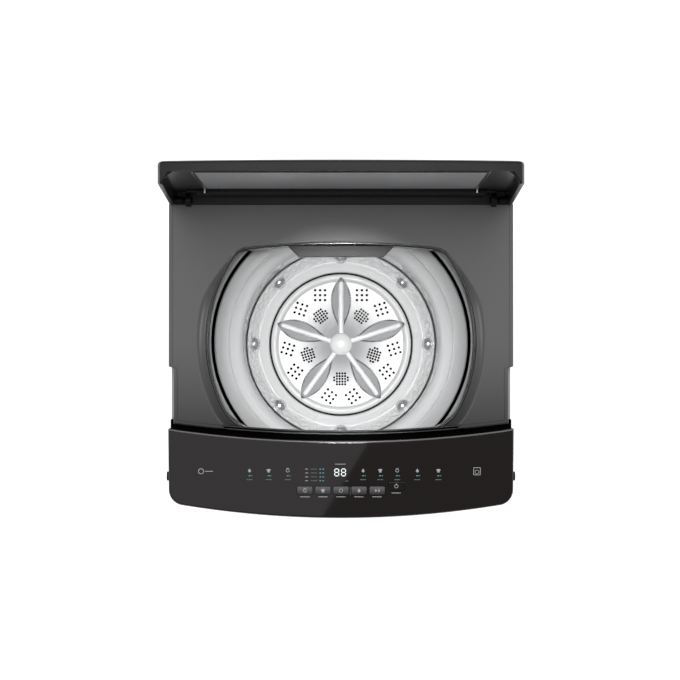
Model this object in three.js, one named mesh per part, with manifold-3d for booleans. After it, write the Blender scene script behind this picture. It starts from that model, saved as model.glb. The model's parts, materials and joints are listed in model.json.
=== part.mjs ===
// Top load washing machine, lid open.
// Millimetres, +Z up, front towards -Y, origin on the floor on the drum axis.
import * as THREE from 'three';
import { mergeVertices } from 'three/addons/utils/BufferGeometryUtils.js';
import Module from 'manifold-3d';

const wasm = await Module();
wasm.setup();

// ---------------------------------------------------------------- driving dimensions
const GAP = 0.4; // clearance between pieces that meet
const OVERLAP = 2; // how far a cutter runs past the face it cuts
const FINE = 40; // segments round a large circle
const MEDIUM = 24;
const SMALL = 14;

const BASE = { bottom: 30, top: 62, rail: 48, cornerRadius: 24 };
const CABINET = {
  halfWidth: 260.5, front: -250, rear: 254, bottom: BASE.top + GAP, top: 868, wall: 1.6,
  cornerRadius: 24, flange: 9, rearFlange: 26,
};
const DECK = {
  halfWidth: 262.5, rear: 258, top: 900, skirtBottom: 852, sheet: 4, frontSide: -125, frontMiddle: -143,
  hollowHalfWidth: 251,
};
const OPENING = { halfWidth: 204, sideRadius: 222, rearMiddle: 148, rearCorner: 139, front: -138,
  collar: 4, bottom: 846 };
const DISH = { width: 17, depth: 12 };
const FINGER_NOTCH = { front: -122, rear: -40, depth: 7.6 };
const CONSOLE = {
  halfWidth: 261.5, rearSide: -133, rearMiddle: -152, frontSide: -250, frontMiddle: -269.4,
  cornerRadius: 24, bottom: 874.4, faceRear: 921, faceFront: 903, faceSheet: 3, wall: 3,
};
const KEY = { width: 23, depth: 12.4, y: -227.7, proud: 1, reach: 7 };
const KEY_PITCH = 27.4;
const POWER_KEY = { x: 83.9, y: -221 };
const DISPLAY = { x: -1, y: -199.9, width: 26, depth: 18 };
const HINGE = { y: 214, z: 908, pinRadius: 4, knuckleRadius: 10 };
const LID = {
  outer: 239, skirtInner: 208, plateInner: 226, skirt: 6, bottom: 903, sideTop: 1253, middleTop: 1271,
  halfWidthTop: 247, halfWidthBottom: 261, blockTop: 958,
};
const WINDOW = { halfWidth: 203, bottom: 966, top: 1232, lip: 9, glass: 5 };
const DRAWER = { halfWidth: 76, front: 129, rear: 206, bottom: 849.6, top: 892, wall: 2, frontDepth: 18 };
const DISPENSER = { halfWidth: 88, front: 153, rear: 214, bottom: 846.4, top: 895.4, wall: 2.4 };
const TUB = { radius: 226, wall: 3, bottom: 300, top: 828, floor: 5, hub: 32 };
const TUB_COVER = { innerRadius: 202, top: 838 };
const BASKET = { topRadius: 198, lowRadius: 168, wall: 1.6, top: 769.6, taperTop: 620, taperBottom: 440,
  bottom: 323 };
const RING = { outer: 199.5, inner: 154, top: 815, bottom: 770 };
const PULSATOR = { radius: 126, bottom: 340, top: 352, rim: 13, petals: 5 };
const SHAFT = { washRadius: 9, spinRadius: 17 };
const GEARBOX = { radius: 62, bottom: 206, top: 289.6 };
const PULLEY = { bottom: 186, top: 203, driveRadius: 75, motorRadius: 22, flange: 4, belt: 5 };
const MOTOR = { x: -150, radius: 60, bottom: 212, top: 289.6 };
const ROD = { x: 222, y: 214, radius: 4.5, bottom: 292, bracket: 800, bracketSheet: 4 };
const LUG = { bottom: 338, top: 350, width: 50, reach: 326 };
const FOOT = { x: 215, y: 205, radius: 24, height: 14 };

// ---------------------------------------------------------------- geometry helpers
/** Turn a closed three.js geometry into a solid, with its faces pointing out. */
function solidFrom(geometry) {
  const bare = geometry.clone();
  bare.deleteAttribute('normal');
  bare.deleteAttribute('uv');
  const merged = mergeVertices(bare, 1e-4);
  const place = merged.attributes.position;
  const index = merged.index.array;
  const faces = [];
  let volume = 0;
  const [a, b, c] = [new THREE.Vector3(), new THREE.Vector3(), new THREE.Vector3()];
  for (let i = 0; i < index.length; i += 3) {
    const [p, q, r] = [index[i], index[i + 1], index[i + 2]];
    if (p === q || q === r || r === p) continue;
    faces.push([p, q, r]);
    volume += a.fromBufferAttribute(place, p).dot(
      b.fromBufferAttribute(place, q).cross(c.fromBufferAttribute(place, r)));
  }
  const triVerts = new Uint32Array(faces.flatMap(([p, q, r]) => (volume < 0 ? [p, r, q] : [p, q, r])));
  return new wasm.Manifold(new wasm.Mesh({ numProp: 3, vertProperties: new Float32Array(place.array),
    triVerts }));
}

/** Turn a solid back into a three.js geometry. */
function geometryFrom(solid) {
  const mesh = solid.getMesh();
  const geometry = new THREE.BufferGeometry();
  geometry.setAttribute('position', new THREE.BufferAttribute(new Float32Array(mesh.vertProperties), 3));
  geometry.setIndex(new THREE.BufferAttribute(new Uint32Array(mesh.triVerts), 1));
  geometry.computeVertexNormals();
  return geometry;
}

const join = (first, ...others) => others.reduce((sum, other) => sum.add(other), first);
const cut = (first, ...others) => others.reduce((rest, other) => rest.subtract(other), first);

/** A box between two limits on each axis. */
function block([x0, x1], [y0, y1], [z0, z1]) {
  const geometry = new THREE.BoxGeometry(x1 - x0, y1 - y0, z1 - z0);
  return solidFrom(geometry.translate((x0 + x1) / 2, (y0 + y1) / 2, (z0 + z1) / 2));
}

/** An upright cylinder, or one along X or Y, between two limits. */
function cylinder(radius, [from, to], [u, v] = [0, 0], axis = 'z', segments = SMALL) {
  const geometry = new THREE.CylinderGeometry(radius, radius, to - from, segments);
  const middle = (from + to) / 2;
  if (axis === 'x') return solidFrom(geometry.rotateZ(Math.PI / 2).translate(middle, u, v));
  if (axis === 'y') return solidFrom(geometry.translate(u, middle, v));
  return solidFrom(geometry.rotateX(Math.PI / 2).translate(u, v, middle));
}

/** A turned piece from [radius, height] points that close on themselves or on the axis. */
function turned(profile, segments = FINE) {
  const onAxis = profile[0][0] === 0 && profile.at(-1)[0] === 0;
  const closed = onAxis ? profile : [...profile, profile[0]];
  const points = closed.map(([radius, height]) => new THREE.Vector2(radius, height));
  return solidFrom(new THREE.LatheGeometry(points, segments).rotateX(Math.PI / 2));
}

/** A flat outline in X and Y, pulled up between two heights. */
function prism(outline, [z0, z1], curveSegments = 4) {
  const geometry = new THREE.ExtrudeGeometry(outline, { depth: z1 - z0, bevelEnabled: false,
    curveSegments });
  return solidFrom(geometry.translate(0, 0, z0));
}

/** A rounded rectangle in X and Y. */
function roundedRectangle([x0, x1], [y0, y1], radius) {
  const shape = new THREE.Shape();
  shape.absarc(x1 - radius, y0 + radius, radius, -Math.PI / 2, 0);
  shape.absarc(x1 - radius, y1 - radius, radius, 0, Math.PI / 2);
  shape.absarc(x0 + radius, y1 - radius, radius, Math.PI / 2, Math.PI);
  shape.absarc(x0 + radius, y0 + radius, radius, Math.PI, 1.5 * Math.PI);
  return shape;
}

/** Points of a shallow arch from x = from to x = to that is `side` at |x| = half and `middle` at x = 0. */
function arch(from, to, half, side, middle, steps = 16) {
  return Array.from({ length: steps + 1 }, (_, i) => {
    const x = from + ((to - from) * i) / steps;
    return new THREE.Vector2(x, middle + (side - middle) * (x / half) ** 2);
  });
}

/** A round tube that follows a smooth curve through the given points. */
function tube(radius, points, steps = 20, sides = 5) {
  const path = new THREE.CatmullRomCurve3(points.map((point) => new THREE.Vector3(...point)));
  const section = new THREE.Shape().absarc(0, 0, radius, 0, 2 * Math.PI);
  const geometry = new THREE.ExtrudeGeometry(section, { extrudePath: path, steps, curveSegments: sides });
  return solidFrom(geometry);
}

// ---------------------------------------------------------------- the assembly
const machine = new THREE.Group();

/** A finish: sRGB colour, roughness and metalness. */
function finish(color, roughness, metalness = 0) {
  return new THREE.MeshStandardMaterial({ color, roughness, metalness });
}

const FINISH = {
  cabinetPaint: finish('#a9abad', 0.42, 0.3),
  darkPlastic: finish('#4a4a4b', 0.35),
  blackPlastic: finish('#1c1c1d', 0.45),
  consoleGloss: finish('#2e2a2a', 0.08),
  keyGrey: finish('#707072', 0.3),
  lightTrim: finish('#9b9b9c', 0.3, 0.4),
  tubPlastic: finish('#d9dadb', 0.5),
  ringPlastic: finish('#dfe0e1', 0.3),
  stainless: finish('#c9cacb', 0.25, 1),
  zincSteel: finish('#9fa2a4', 0.45, 1),
  castAluminium: finish('#a7a9ab', 0.55, 1),
  motorPaint: finish('#3a3d40', 0.5, 0.4),
  rubber: finish('#1a1a1a', 0.85),
  tintedGlass: finish('#3c3d3f', 0.05),
  boardGreen: finish('#1f5a35', 0.5),
};

/** Add one named piece to the machine. */
function add(name, solid, material, parent = machine) {
  const mesh = new THREE.Mesh(geometryFrom(solid), material);
  mesh.name = name;
  parent.add(mesh);
  return mesh;
}

const CORNERS = [['front_left', -1, -1], ['front_right', 1, -1], ['rear_left', -1, 1], ['rear_right', 1,
  1]];

// ---------------------------------------------------------------- base, feet and cabinet
function cabinetOutline(inset) {
  return roundedRectangle([-CABINET.halfWidth + inset, CABINET.halfWidth - inset],
    [CABINET.front + inset, CABINET.rear - inset], CABINET.cornerRadius - inset);
}

function baseFrame() {
  const inner = roundedRectangle([-CABINET.halfWidth + BASE.rail, CABINET.halfWidth - BASE.rail],
    [CABINET.front + BASE.rail, CABINET.rear - BASE.rail], BASE.cornerRadius);
  const frame = cut(prism(cabinetOutline(1), [BASE.bottom, BASE.top]),
    prism(inner, [BASE.bottom - OVERLAP, BASE.top + OVERLAP]));
  const pockets = CORNERS.map(([, sx, sy]) => cylinder(6.5, [BASE.bottom - OVERLAP, BASE.top - 6],
    [sx * FOOT.x, sy * FOOT.y]));
  const pads = CORNERS.map(([, sx, sy]) => block([sx * FOOT.x - 22, sx * FOOT.x + 22],
    [sy * FOOT.y - 22, sy * FOOT.y + 22], [BASE.bottom, BASE.top]));
  return cut(join(frame, ...pads), ...pockets);
}

function levellingFoot(sx, sy) {
  const stemTop = BASE.top - 8;
  const collar = [[11, FOOT.height + 4], [11, FOOT.height + 11]];
  const profile = [[0, 0], [FOOT.radius - 2, 0], [FOOT.radius, 2], [FOOT.radius, FOOT.height - 4],
    [FOOT.radius - 7, FOOT.height], ...collar, [6, FOOT.height + 11], [6, stemTop], [0, stemTop]];
  return turned(profile, SMALL).translate([sx * FOOT.x, sy * FOOT.y, 0]);
}

function cabinetShell() {
  const { bottom, top, wall, flange, rearFlange, halfWidth, rear } = CABINET;
  const shell = cut(prism(cabinetOutline(0), [bottom, top]), prism(cabinetOutline(wall),
    [bottom - OVERLAP, top - wall]));
  const mouth = prism(cabinetOutline(flange), [top - wall - OVERLAP, top + OVERLAP]);
  const back = block([-halfWidth + rearFlange, halfWidth - rearFlange], [rear - 6, rear + OVERLAP],
    [bottom - OVERLAP, top - 16]);
  const corner = (sx, sy) => {
    const wallY = sy < 0 ? CABINET.front : rear;
    const gusset = new THREE.Shape([
      new THREE.Vector2(sx * halfWidth, wallY - sy * 104), new THREE.Vector2(sx * halfWidth, wallY),
      new THREE.Vector2(sx * (halfWidth - 98), wallY)]);
    const plate = prism(gusset, [ROD.bracket, ROD.bracket + ROD.bracketSheet]);
    return plate.intersect(prism(cabinetOutline(wall / 2), [bottom, top]));
  };
  const gussets = CORNERS.map(([, sx, sy]) => corner(sx, sy));
  const rodHoles = CORNERS.map(([, sx, sy]) => cylinder(ROD.radius + 1, [ROD.bracket - OVERLAP,
    ROD.bracket + 10],
    [sx * ROD.x, sy * ROD.y]));
  return cut(join(cut(shell, mouth, back), ...gussets), ...rodHoles);
}

const REAR_PANEL = { halfWidth: 246, bottom: 68, top: 846, sheet: 1.4 };
const DRAIN = { x: 150, z: 178, radius: 16, inside: 230 };
const CORD_GLAND = { x: 196, z: 770, radius: 9 };

function backPanel() {
  const y0 = CABINET.rear + GAP;
  const y1 = y0 + REAR_PANEL.sheet;
  const sheet = block([-REAR_PANEL.halfWidth, REAR_PANEL.halfWidth], [y0, y1], [REAR_PANEL.bottom,
    REAR_PANEL.top]);
  const through = [y0 - OVERLAP, y1 + OVERLAP];
  const ribs = [-1, 0, 1].map((row) => block([-180, 180], [y1 - 0.5, y1 + 2], [470 + row * 110,
    480 + row * 110]));
  return cut(join(sheet, ...ribs),
    cylinder(DRAIN.radius + 1, through, [DRAIN.x, DRAIN.z], 'y', MEDIUM),
    cylinder(CORD_GLAND.radius + 1, through, [CORD_GLAND.x, CORD_GLAND.z], 'y', MEDIUM));
}

function stubThroughBack(radius, bore, x, z, inside, outside) {
  const face = CABINET.rear + GAP + REAR_PANEL.sheet + GAP;
  const body = join(cylinder(radius, [inside, outside], [x, z], 'y', MEDIUM),
    cylinder(radius + 6, [face, face + 3], [x, z], 'y', MEDIUM));
  return cut(body, cylinder(bore, [inside + 4, outside + OVERLAP], [x, z], 'y', MEDIUM));
}

// ---------------------------------------------------------------- top cover
/** The opening over the drum: bowed sides, an arched rear edge and a straight front edge, grown by `grow`. */
function openingOutline(grow) {
  const { halfWidth, sideRadius, rearMiddle, rearCorner, front } = OPENING;
  const centre = halfWidth - sideRadius;
  const radius = sideRadius + grow;
  const low = Math.asin((front - grow) / radius);
  const high = Math.asin((rearCorner + grow) / radius);
  const shape = new THREE.Shape();
  shape.absarc(centre, 0, radius, low, high);
  const corner = centre + radius * Math.cos(high);
  arch(corner, -corner, corner, rearCorner + grow, rearMiddle + grow, 8).slice(1,
    -1).forEach((p) => shape.lineTo(p.x, p.y));
  shape.absarc(-centre, 0, radius, Math.PI - high, Math.PI - low);
  return shape;
}

function deckOutline(inset, frontShift) {
  const { halfWidth, rear, frontSide, frontMiddle } = DECK;
  const half = halfWidth - inset;
  const shape = new THREE.Shape(arch(-half, half, halfWidth, frontSide + frontShift,
    frontMiddle + frontShift));
  shape.lineTo(half, rear - inset);
  shape.lineTo(-half, rear - inset);
  return shape;
}

function consoleOutline(inset) {
  const { halfWidth, rearSide, rearMiddle, frontSide, frontMiddle, cornerRadius } = CONSOLE;
  const half = halfWidth - inset;
  const radius = cornerRadius - inset;
  const frontY = frontSide + inset;
  const shape = new THREE.Shape();
  shape.moveTo(-half, frontY + radius);
  shape.absarc(-half + radius, frontY + radius, radius, Math.PI, 1.42 * Math.PI);
  arch(-half + radius, half - radius, half, frontY - 2,
    frontMiddle + inset).forEach((p) => shape.lineTo(p.x, p.y));
  shape.absarc(half - radius, frontY + radius, radius, -0.42 * Math.PI, 0);
  arch(half, -half, halfWidth, rearSide - inset, rearMiddle - inset).forEach((p) => shape.lineTo(p.x, p.y));
  return shape;
}

function topCover() {
  const { top, sheet, skirtBottom, hollowHalfWidth, rear, halfWidth } = DECK;
  const trayTop = CONSOLE.bottom - GAP;
  const seat = CABINET.top + GAP;
  const raised = prism(deckOutline(0, 0), [seat, top]);
  const gutter = prism(deckOutline(0, -7.6), [seat, top - DISH.depth]);
  const tray = join(prism(consoleOutline(1), [seat, trayTop]), prism(deckOutline(3, -30), [seat, trayTop]));
  const skirt = cut(prism(deckOutline(0, 20), [skirtBottom, seat + 1]),
    prism(cabinetOutline(-GAP), [skirtBottom - OVERLAP, seat]));
  const hollow = prism(deckOutline(halfWidth - hollowHalfWidth, 12), [seat - OVERLAP, top - sheet]);
  const trayHollow = block([-230, 230], [-240, -170], [seat - OVERLAP, trayTop + OVERLAP]);
  const collar = prism(openingOutline(OPENING.collar), [OPENING.bottom, top - 1]);
  const mouth = prism(openingOutline(0), [OPENING.bottom - OVERLAP, top + OVERLAP]);
  const lugs = [-1, 1].map((side) => hingeLug(side));
  const body = join(cut(join(raised, gutter, tray, skirt), hollow, trayHollow), collar, ...lugs);
  const notches = [-1, 1].map((side) => block(
    [side < 0 ? -halfWidth - OVERLAP : halfWidth - FINGER_NOTCH.depth,
    side < 0 ? -halfWidth + FINGER_NOTCH.depth : halfWidth + OVERLAP],
    [FINGER_NOTCH.front, FINGER_NOTCH.rear], [skirtBottom - OVERLAP, top + OVERLAP]));
  const drawerWay = block([-DISPENSER.halfWidth - 1, DISPENSER.halfWidth + 1], [120, rear - 40],
    [OPENING.bottom - OVERLAP, top - sheet]);
  const drawerNotch = block([-DISPENSER.halfWidth - 1, DISPENSER.halfWidth + 1], [120,
    OPENING.rearCorner], [800, top - sheet]);
  const pinHoles = [-1, 1].map((side) => cylinder(HINGE.pinRadius + GAP,
    [side < 0 ? -240 : 224, side < 0 ? -224 : 240], [HINGE.y, HINGE.z], 'x'));
  const valveHole = cylinder(INLET.radius + 0.8, [rear - 12, rear + OVERLAP], [INLET.x, INLET.z], 'y',
    MEDIUM);
  return cut(body, mouth, dishCutter(), drawerWay, drawerNotch, valveHole, ...notches, ...pinHoles);
}

/** The shallow slope that leads from the deck down into the opening. */
function dishCutter() {
  const { width, depth } = DISH;
  const steps = 4;
  const cutters = Array.from({ length: steps }, (_, i) => prism(openingOutline((width * (i + 1)) / steps),
    [DECK.top - depth + (depth * i) / steps, DECK.top + OVERLAP]));
  return join(...cutters);
}

function hingeLug(side) {
  const x = side < 0 ? [-236, -228] : [228, 236];
  return join(cylinder(HINGE.knuckleRadius, x, [HINGE.y, HINGE.z], 'x', MEDIUM),
    block(x, [HINGE.y - HINGE.knuckleRadius, HINGE.y + HINGE.knuckleRadius], [DECK.top - 1, HINGE.z]));
}

// ---------------------------------------------------------------- control console
const SLOPE = Math.atan2(CONSOLE.faceRear - CONSOLE.faceFront, CONSOLE.rearSide - CONSOLE.frontMiddle);
const faceHeight = (y) => CONSOLE.faceFront + (y - CONSOLE.frontMiddle) * Math.tan(SLOPE);

/** A sloping slab under the face, between two depths below it. */
function slab(shallow, deep) {
  const long = 800;
  const geometry = new THREE.BoxGeometry(long, long, deep - shallow);
  geometry.translate(0, 0, -(shallow + deep) / 2);
  geometry.rotateX(SLOPE);
  return solidFrom(geometry.translate(0, CONSOLE.frontMiddle, CONSOLE.faceFront));
}

/** An upright-to-the-face block at x, y with a width and a depth, between two depths below the face. */
function faceBlock(x, y, width, depth, shallow, deep) {
  const geometry = new THREE.BoxGeometry(width, depth, deep - shallow);
  geometry.translate(0, 0, -(shallow + deep) / 2);
  geometry.rotateX(SLOPE);
  return solidFrom(geometry.translate(x, y, faceHeight(y)));
}

const KEYS = [
  ...['level_key', 'process_key', 'delay_key', 'program_key', 'start_key'].map((name, i) => (
    { name, x: (i - 2) * KEY_PITCH, y: KEY.y })),
  { name: 'power_key', x: POWER_KEY.x, y: POWER_KEY.y },
];

function keyHole(key, deep) {
  return faceBlock(key.x, key.y, KEY.width + 2 * GAP, KEY.depth + 2 * GAP, -OVERLAP, deep);
}

function controlHousing() {
  const { bottom, wall, faceSheet } = CONSOLE;
  const tall = [bottom, CONSOLE.faceRear + 10];
  const under = slab(faceSheet + GAP, 200);
  const outer = prism(consoleOutline(0), tall).intersect(under);
  const inner = prism(consoleOutline(wall), [bottom - OVERLAP,
    tall[1]]).intersect(slab(faceSheet + GAP + wall, 200));
  const window = faceBlock(DISPLAY.x, DISPLAY.y, DISPLAY.width, DISPLAY.depth, 0, 12);
  return cut(outer, inner, window, ...KEYS.map((key) => keyHole(key, 12)));
}

function controlFace() {
  const { faceSheet, bottom, faceRear } = CONSOLE;
  const sheet = prism(consoleOutline(0.6), [bottom, faceRear + 10]).intersect(slab(0, faceSheet));
  const trimSeat = prism(trimOutline(-GAP), [bottom, faceRear + 10]);
  return cut(sheet, trimSeat, ...KEYS.map((key) => keyHole(key, 12)));
}

function trimOutline(grow) {
  const { halfWidth, rearSide, rearMiddle } = CONSOLE;
  const half = halfWidth + OVERLAP;
  const rear = arch(half, -half, halfWidth, rearSide + OVERLAP, rearMiddle + OVERLAP);
  const front = arch(-half, half, halfWidth, rearSide - 2.4 + grow, rearMiddle - 2.4 + grow);
  return new THREE.Shape([...rear, ...front]);
}

function consoleTrim() {
  const tall = [CONSOLE.bottom, CONSOLE.faceRear + 10];
  return prism(consoleOutline(0.2), tall).intersect(slab(0,
    CONSOLE.faceSheet)).intersect(prism(trimOutline(0), tall));
}

function displayModule() {
  return faceBlock(DISPLAY.x, DISPLAY.y, DISPLAY.width - 1, DISPLAY.depth - 1, CONSOLE.faceSheet + GAP, 14);
}

function controlBoard() {
  return faceBlock(10, -207, 330, 50, 14 + GAP, 16);
}

function screwCap(side) {
  const x = side < 0 ? [-265.5, -CONSOLE.halfWidth - GAP] : [CONSOLE.halfWidth + GAP, 265.5];
  return cylinder(7, x, [-206, 889], 'x');
}

// ---------------------------------------------------------------- lid and hinges
/** The lid's outline seen from the front with the lid upright, drawn in X and Z. */
function lidOutline(inset) {
  const { sideTop, middleTop, halfWidthTop, halfWidthBottom, bottom } = LID;
  const top = halfWidthTop - inset;
  const shape = new THREE.Shape(arch(top, -top, halfWidthTop, sideTop - inset, middleTop - inset));
  shape.lineTo(-halfWidthBottom + inset, bottom);
  shape.lineTo(halfWidthBottom - inset, bottom);
  return shape;
}

/** Pull an X-Z outline along Y between two limits. */
function uprightPrism(outline, [y0, y1]) {
  const geometry = new THREE.ExtrudeGeometry(outline, { depth: y1 - y0, bevelEnabled: false,
    curveSegments: 8 });
  return solidFrom(geometry.rotateX(Math.PI / 2).translate(0, y1, 0));
}

function lidFrame() {
  const { outer, skirtInner, plateInner, skirt, bottom, blockTop } = LID;
  const plate = uprightPrism(lidOutline(0), [plateInner, outer]);
  const tall = uprightPrism(lidOutline(0), [skirtInner, plateInner + 1]);
  const tallHollow = uprightPrism(lidOutline(skirt), [skirtInner - OVERLAP, plateInner + OVERLAP]);
  const aboveSkirts = block([-300, 300], [skirtInner - OVERLAP, plateInner], [LID.sideTop - 1,
    LID.middleTop + OVERLAP]);
  const topWall = block([-LID.halfWidthTop + 12, LID.halfWidthTop - 12], [skirtInner - OVERLAP,
    plateInner], [LID.sideTop - 40, 1300]);
  const skirts = cut(tall, tallHollow, aboveSkirts, topWall);
  const rail = block([-LID.halfWidthBottom + 8, LID.halfWidthBottom - 8], [212, plateInner + 1],
    [HINGE.z + 14, blockTop]);
  const lower = block([-222, 222], [216, plateInner + 1], [bottom, HINGE.z + 15]);
  const knuckles = [-1, 1].map((side) => cylinder(5.5 + HINGE.pinRadius - 4, side < 0 ? [-257,
    -240] : [240, 257],
    [HINGE.y, HINGE.z], 'x'));
  const bores = [-1, 1].map((side) => cylinder(HINGE.pinRadius + GAP, side < 0 ? [-252, -230] : [230, 252],
    [HINGE.y, HINGE.z], 'x'));
  const lugRoom = [-1, 1].map((side) => block(side < 0 ? [-238, -226] : [226, 238],
    [skirtInner - OVERLAP, outer + OVERLAP], [bottom - OVERLAP, HINGE.z + 12]));
  const [wide, low, high] = [WINDOW.halfWidth, WINDOW.bottom, WINDOW.top];
  const rebate = block([-wide - GAP, wide + GAP], [plateInner - OVERLAP,
    plateInner + WINDOW.glass + GAP], [low - GAP, high + GAP]);
  const sight = block([-wide + WINDOW.lip, wide - WINDOW.lip], [plateInner, outer + OVERLAP],
    [low + WINDOW.lip, high - WINDOW.lip]);
  return cut(join(plate, skirts, rail, lower, ...knuckles), ...bores, ...lugRoom, rebate, sight);
}

function lidGlass() {
  const { halfWidth, bottom, top, glass } = WINDOW;
  return block([-halfWidth, halfWidth], [LID.plateInner, LID.plateInner + glass], [bottom, top]);
}

function hingePin(side) {
  return cylinder(HINGE.pinRadius, side < 0 ? [-251, -225] : [225, 251], [HINGE.y, HINGE.z], 'x');
}

// ---------------------------------------------------------------- water inlet and detergent drawer
const INLET = { x: -186, z: 882, radius: 12.5 };

function dispenserHousing() {
  const { halfWidth, front, rear, bottom, top, wall } = DISPENSER;
  return cut(block([-halfWidth, halfWidth], [front, rear], [bottom, top]),
    block([-halfWidth + wall, halfWidth - wall], [front - OVERLAP, rear - wall], [bottom + wall,
    top - wall]));
}

function detergentDrawer() {
  const { halfWidth, front, rear, bottom, top, wall, frontDepth } = DRAWER;
  const nose = new THREE.Shape([
    new THREE.Vector2(-65, front), new THREE.Vector2(65, front),
    new THREE.Vector2(82, front + frontDepth), new THREE.Vector2(-82, front + frontDepth)]);
  const grip = block([-45, 45], [front - OVERLAP, front + 10], [bottom - OVERLAP, bottom + 22]);
  const tray = block([-halfWidth, halfWidth], [front + frontDepth - 1, rear], [bottom, top - 6]);
  const cup = (x0, x1) => block([x0, x1], [front + frontDepth + wall, rear - wall], [bottom + wall, top]);
  return cut(join(prism(nose, [bottom, top]), tray), grip, cup(-halfWidth + wall, 20), cup(20 + wall,
    halfWidth - wall));
}

function inletValve() {
  const { x, z, radius } = INLET;
  const body = block([x - 20, x + 20], [208, 244], [z - 16, z + 11]);
  const coil = block([x - 15, x + 15], [214, 240], [z - 44, z - 15]);
  const thread = cut(cylinder(radius, [243, 269.4], [x, z], 'y', MEDIUM), cylinder(radius - 3, [250,
    272], [x, z], 'y', MEDIUM));
  const spout = cylinder(8, [x + 19, x + 36], [226, z - 6], 'x');
  return join(body, coil, thread, spout);
}

function inletHose() {
  const z = INLET.z - 6;
  const wall = -DISPENSER.halfWidth - GAP;
  return tube(8, [[INLET.x + 36 + GAP, 226, z], [-138, 226, z], [-122, 216, z], [-110, 198, z],
    [wall - 10, 190, z], [wall, 190, z]], 14);
}

function lidLock() {
  return join(block([204, 240], [168, 198], [872, 892]), cylinder(4, [891, 895.2], [222, 183]));
}

// ---------------------------------------------------------------- tub, suspension and drive
function outerTub() {
  const { radius, wall, bottom, top, floor, hub } = TUB;
  const shell = turned([[hub, bottom], [radius, bottom], [radius, top], [radius - wall, top],
    [radius - wall, bottom + floor], [hub, bottom + floor]]);
  const arms = CORNERS.map(([, sx, sy]) => {
    const geometry = new THREE.BoxGeometry(LUG.reach - radius + wall, LUG.width, LUG.top - LUG.bottom);
    geometry.translate((LUG.reach + radius - wall) / 2, 0, (LUG.top + LUG.bottom) / 2);
    return solidFrom(geometry.rotateZ(Math.atan2(sy * ROD.y, sx * ROD.x)));
  });
  const inside = cylinder(radius - wall, [bottom + floor, top + OVERLAP], [0, 0], 'z', FINE);
  const holes = CORNERS.map(([, sx, sy]) => cylinder(ROD.radius + 1, [LUG.bottom - OVERLAP,
    LUG.top + OVERLAP],
    [sx * ROD.x, sy * ROD.y]));
  return cut(join(shell, ...arms.map((arm) => cut(arm, inside))), ...holes,
    cylinder(14, [bottom - OVERLAP, bottom + floor + OVERLAP], [DRAIN_VALVE.x, DRAIN_VALVE.y], 'z',
    MEDIUM));
}

const DRAIN_VALVE = { x: 118, y: 128, radius: 24 };

function drainValve() {
  const { x, y, radius } = DRAIN_VALVE;
  const body = cylinder(radius, [238, TUB.bottom - GAP], [x, y], 'z', MEDIUM);
  const neck = cylinder(13, [TUB.bottom - 2, TUB.bottom + 4], [x, y], 'z', MEDIUM);
  const spout = cylinder(13, [y + 20, y + 44], [x, 258], 'y', MEDIUM);
  return join(body, neck, spout);
}

function drainHose() {
  const { x, y } = DRAIN_VALVE;
  return tube(13, [[x, y + 44.5, 258], [x, y + 54, 258], [x + 6, y + 66, 246], [x + 16, y + 70, 222],
    [x + 26, y + 72, 198],
    [DRAIN.x, y + 84, DRAIN.z], [DRAIN.x, DRAIN.inside - GAP, DRAIN.z]]);
}

function tubCover() {
  const { innerRadius, top } = TUB_COVER;
  const seat = TUB.top + GAP;
  return turned([[TUB.radius + 3, seat - 14], [TUB.radius + 3, top - 3], [TUB.radius, top],
    [innerRadius + 3, top],
    [innerRadius, top - 3], [innerRadius, top - 6], [innerRadius + 3, top - 3.5], [TUB.radius - 6, seat],
    [TUB.radius + GAP, seat], [TUB.radius + GAP, seat - 14]]);
}

function tubSupport() {
  const plate = prism(roundedRectangle([-222, 120], [-92, 92], 30), [290, TUB.bottom - GAP]);
  return cut(plate, cylinder(TUB.hub, [288, 302], [0, 0], 'z', MEDIUM));
}

function gearbox() {
  const { radius, bottom, top } = GEARBOX;
  const bore = SHAFT.spinRadius + GAP;
  return turned([[bore, bottom], [radius - 18, bottom], [radius - 10, bottom + 8], [radius - 10, 236],
    [radius, 240],
    [radius, top], [TUB.hub - 1, top], [TUB.hub - 1, TUB.bottom + 8], [bore, TUB.bottom + 8]], MEDIUM);
}

function motor() {
  const { x, radius, bottom, top } = MOTOR;
  const shaftBottom = PULLEY.top + GAP;
  const body = turned([[0, shaftBottom], [8, shaftBottom], [8, bottom], [radius - 12, bottom],
    [radius - 4, bottom + 10],
    [radius, bottom + 22], [radius, top - 16], [radius - 6, top - 8], [radius - 6, top], [0, top]], MEDIUM);
  return body.translate([x, 0, 0]);
}

function pulley(radius, bore) {
  const { bottom, top, flange } = PULLEY;
  const lip = 2.6;
  const inner = bore > 0 ? [[bore, bottom]] : [[0, bottom]];
  const outer = [[radius + flange, bottom], [radius + flange, bottom + lip], [radius, bottom + lip + 1],
    [radius, top - lip - 1], [radius + flange, top - lip], [radius + flange, top]];
  return turned([...inner, ...outer, [bore, top]], MEDIUM);
}

/** The outline of a belt round two wheels on X, from the big wheel at 0 to the small one at `x`. */
function beltOutline(big, small, x) {
  const lean = Math.acos((big - small) / Math.abs(x));
  const shape = new THREE.Shape();
  shape.absarc(0, 0, big, -(Math.PI - lean), Math.PI - lean);
  shape.absarc(x, 0, small, Math.PI - lean, Math.PI + lean);
  return shape;
}

function driveBelt() {
  const { driveRadius, motorRadius, belt } = PULLEY;
  const height = [PULLEY.bottom + 4.2, PULLEY.top - 4.2];
  const ring = beltOutline(driveRadius + GAP + belt, motorRadius + GAP + belt, MOTOR.x);
  ring.holes = [beltOutline(driveRadius + GAP, motorRadius + GAP, MOTOR.x)];
  return prism(ring, height, 10);
}

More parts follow.
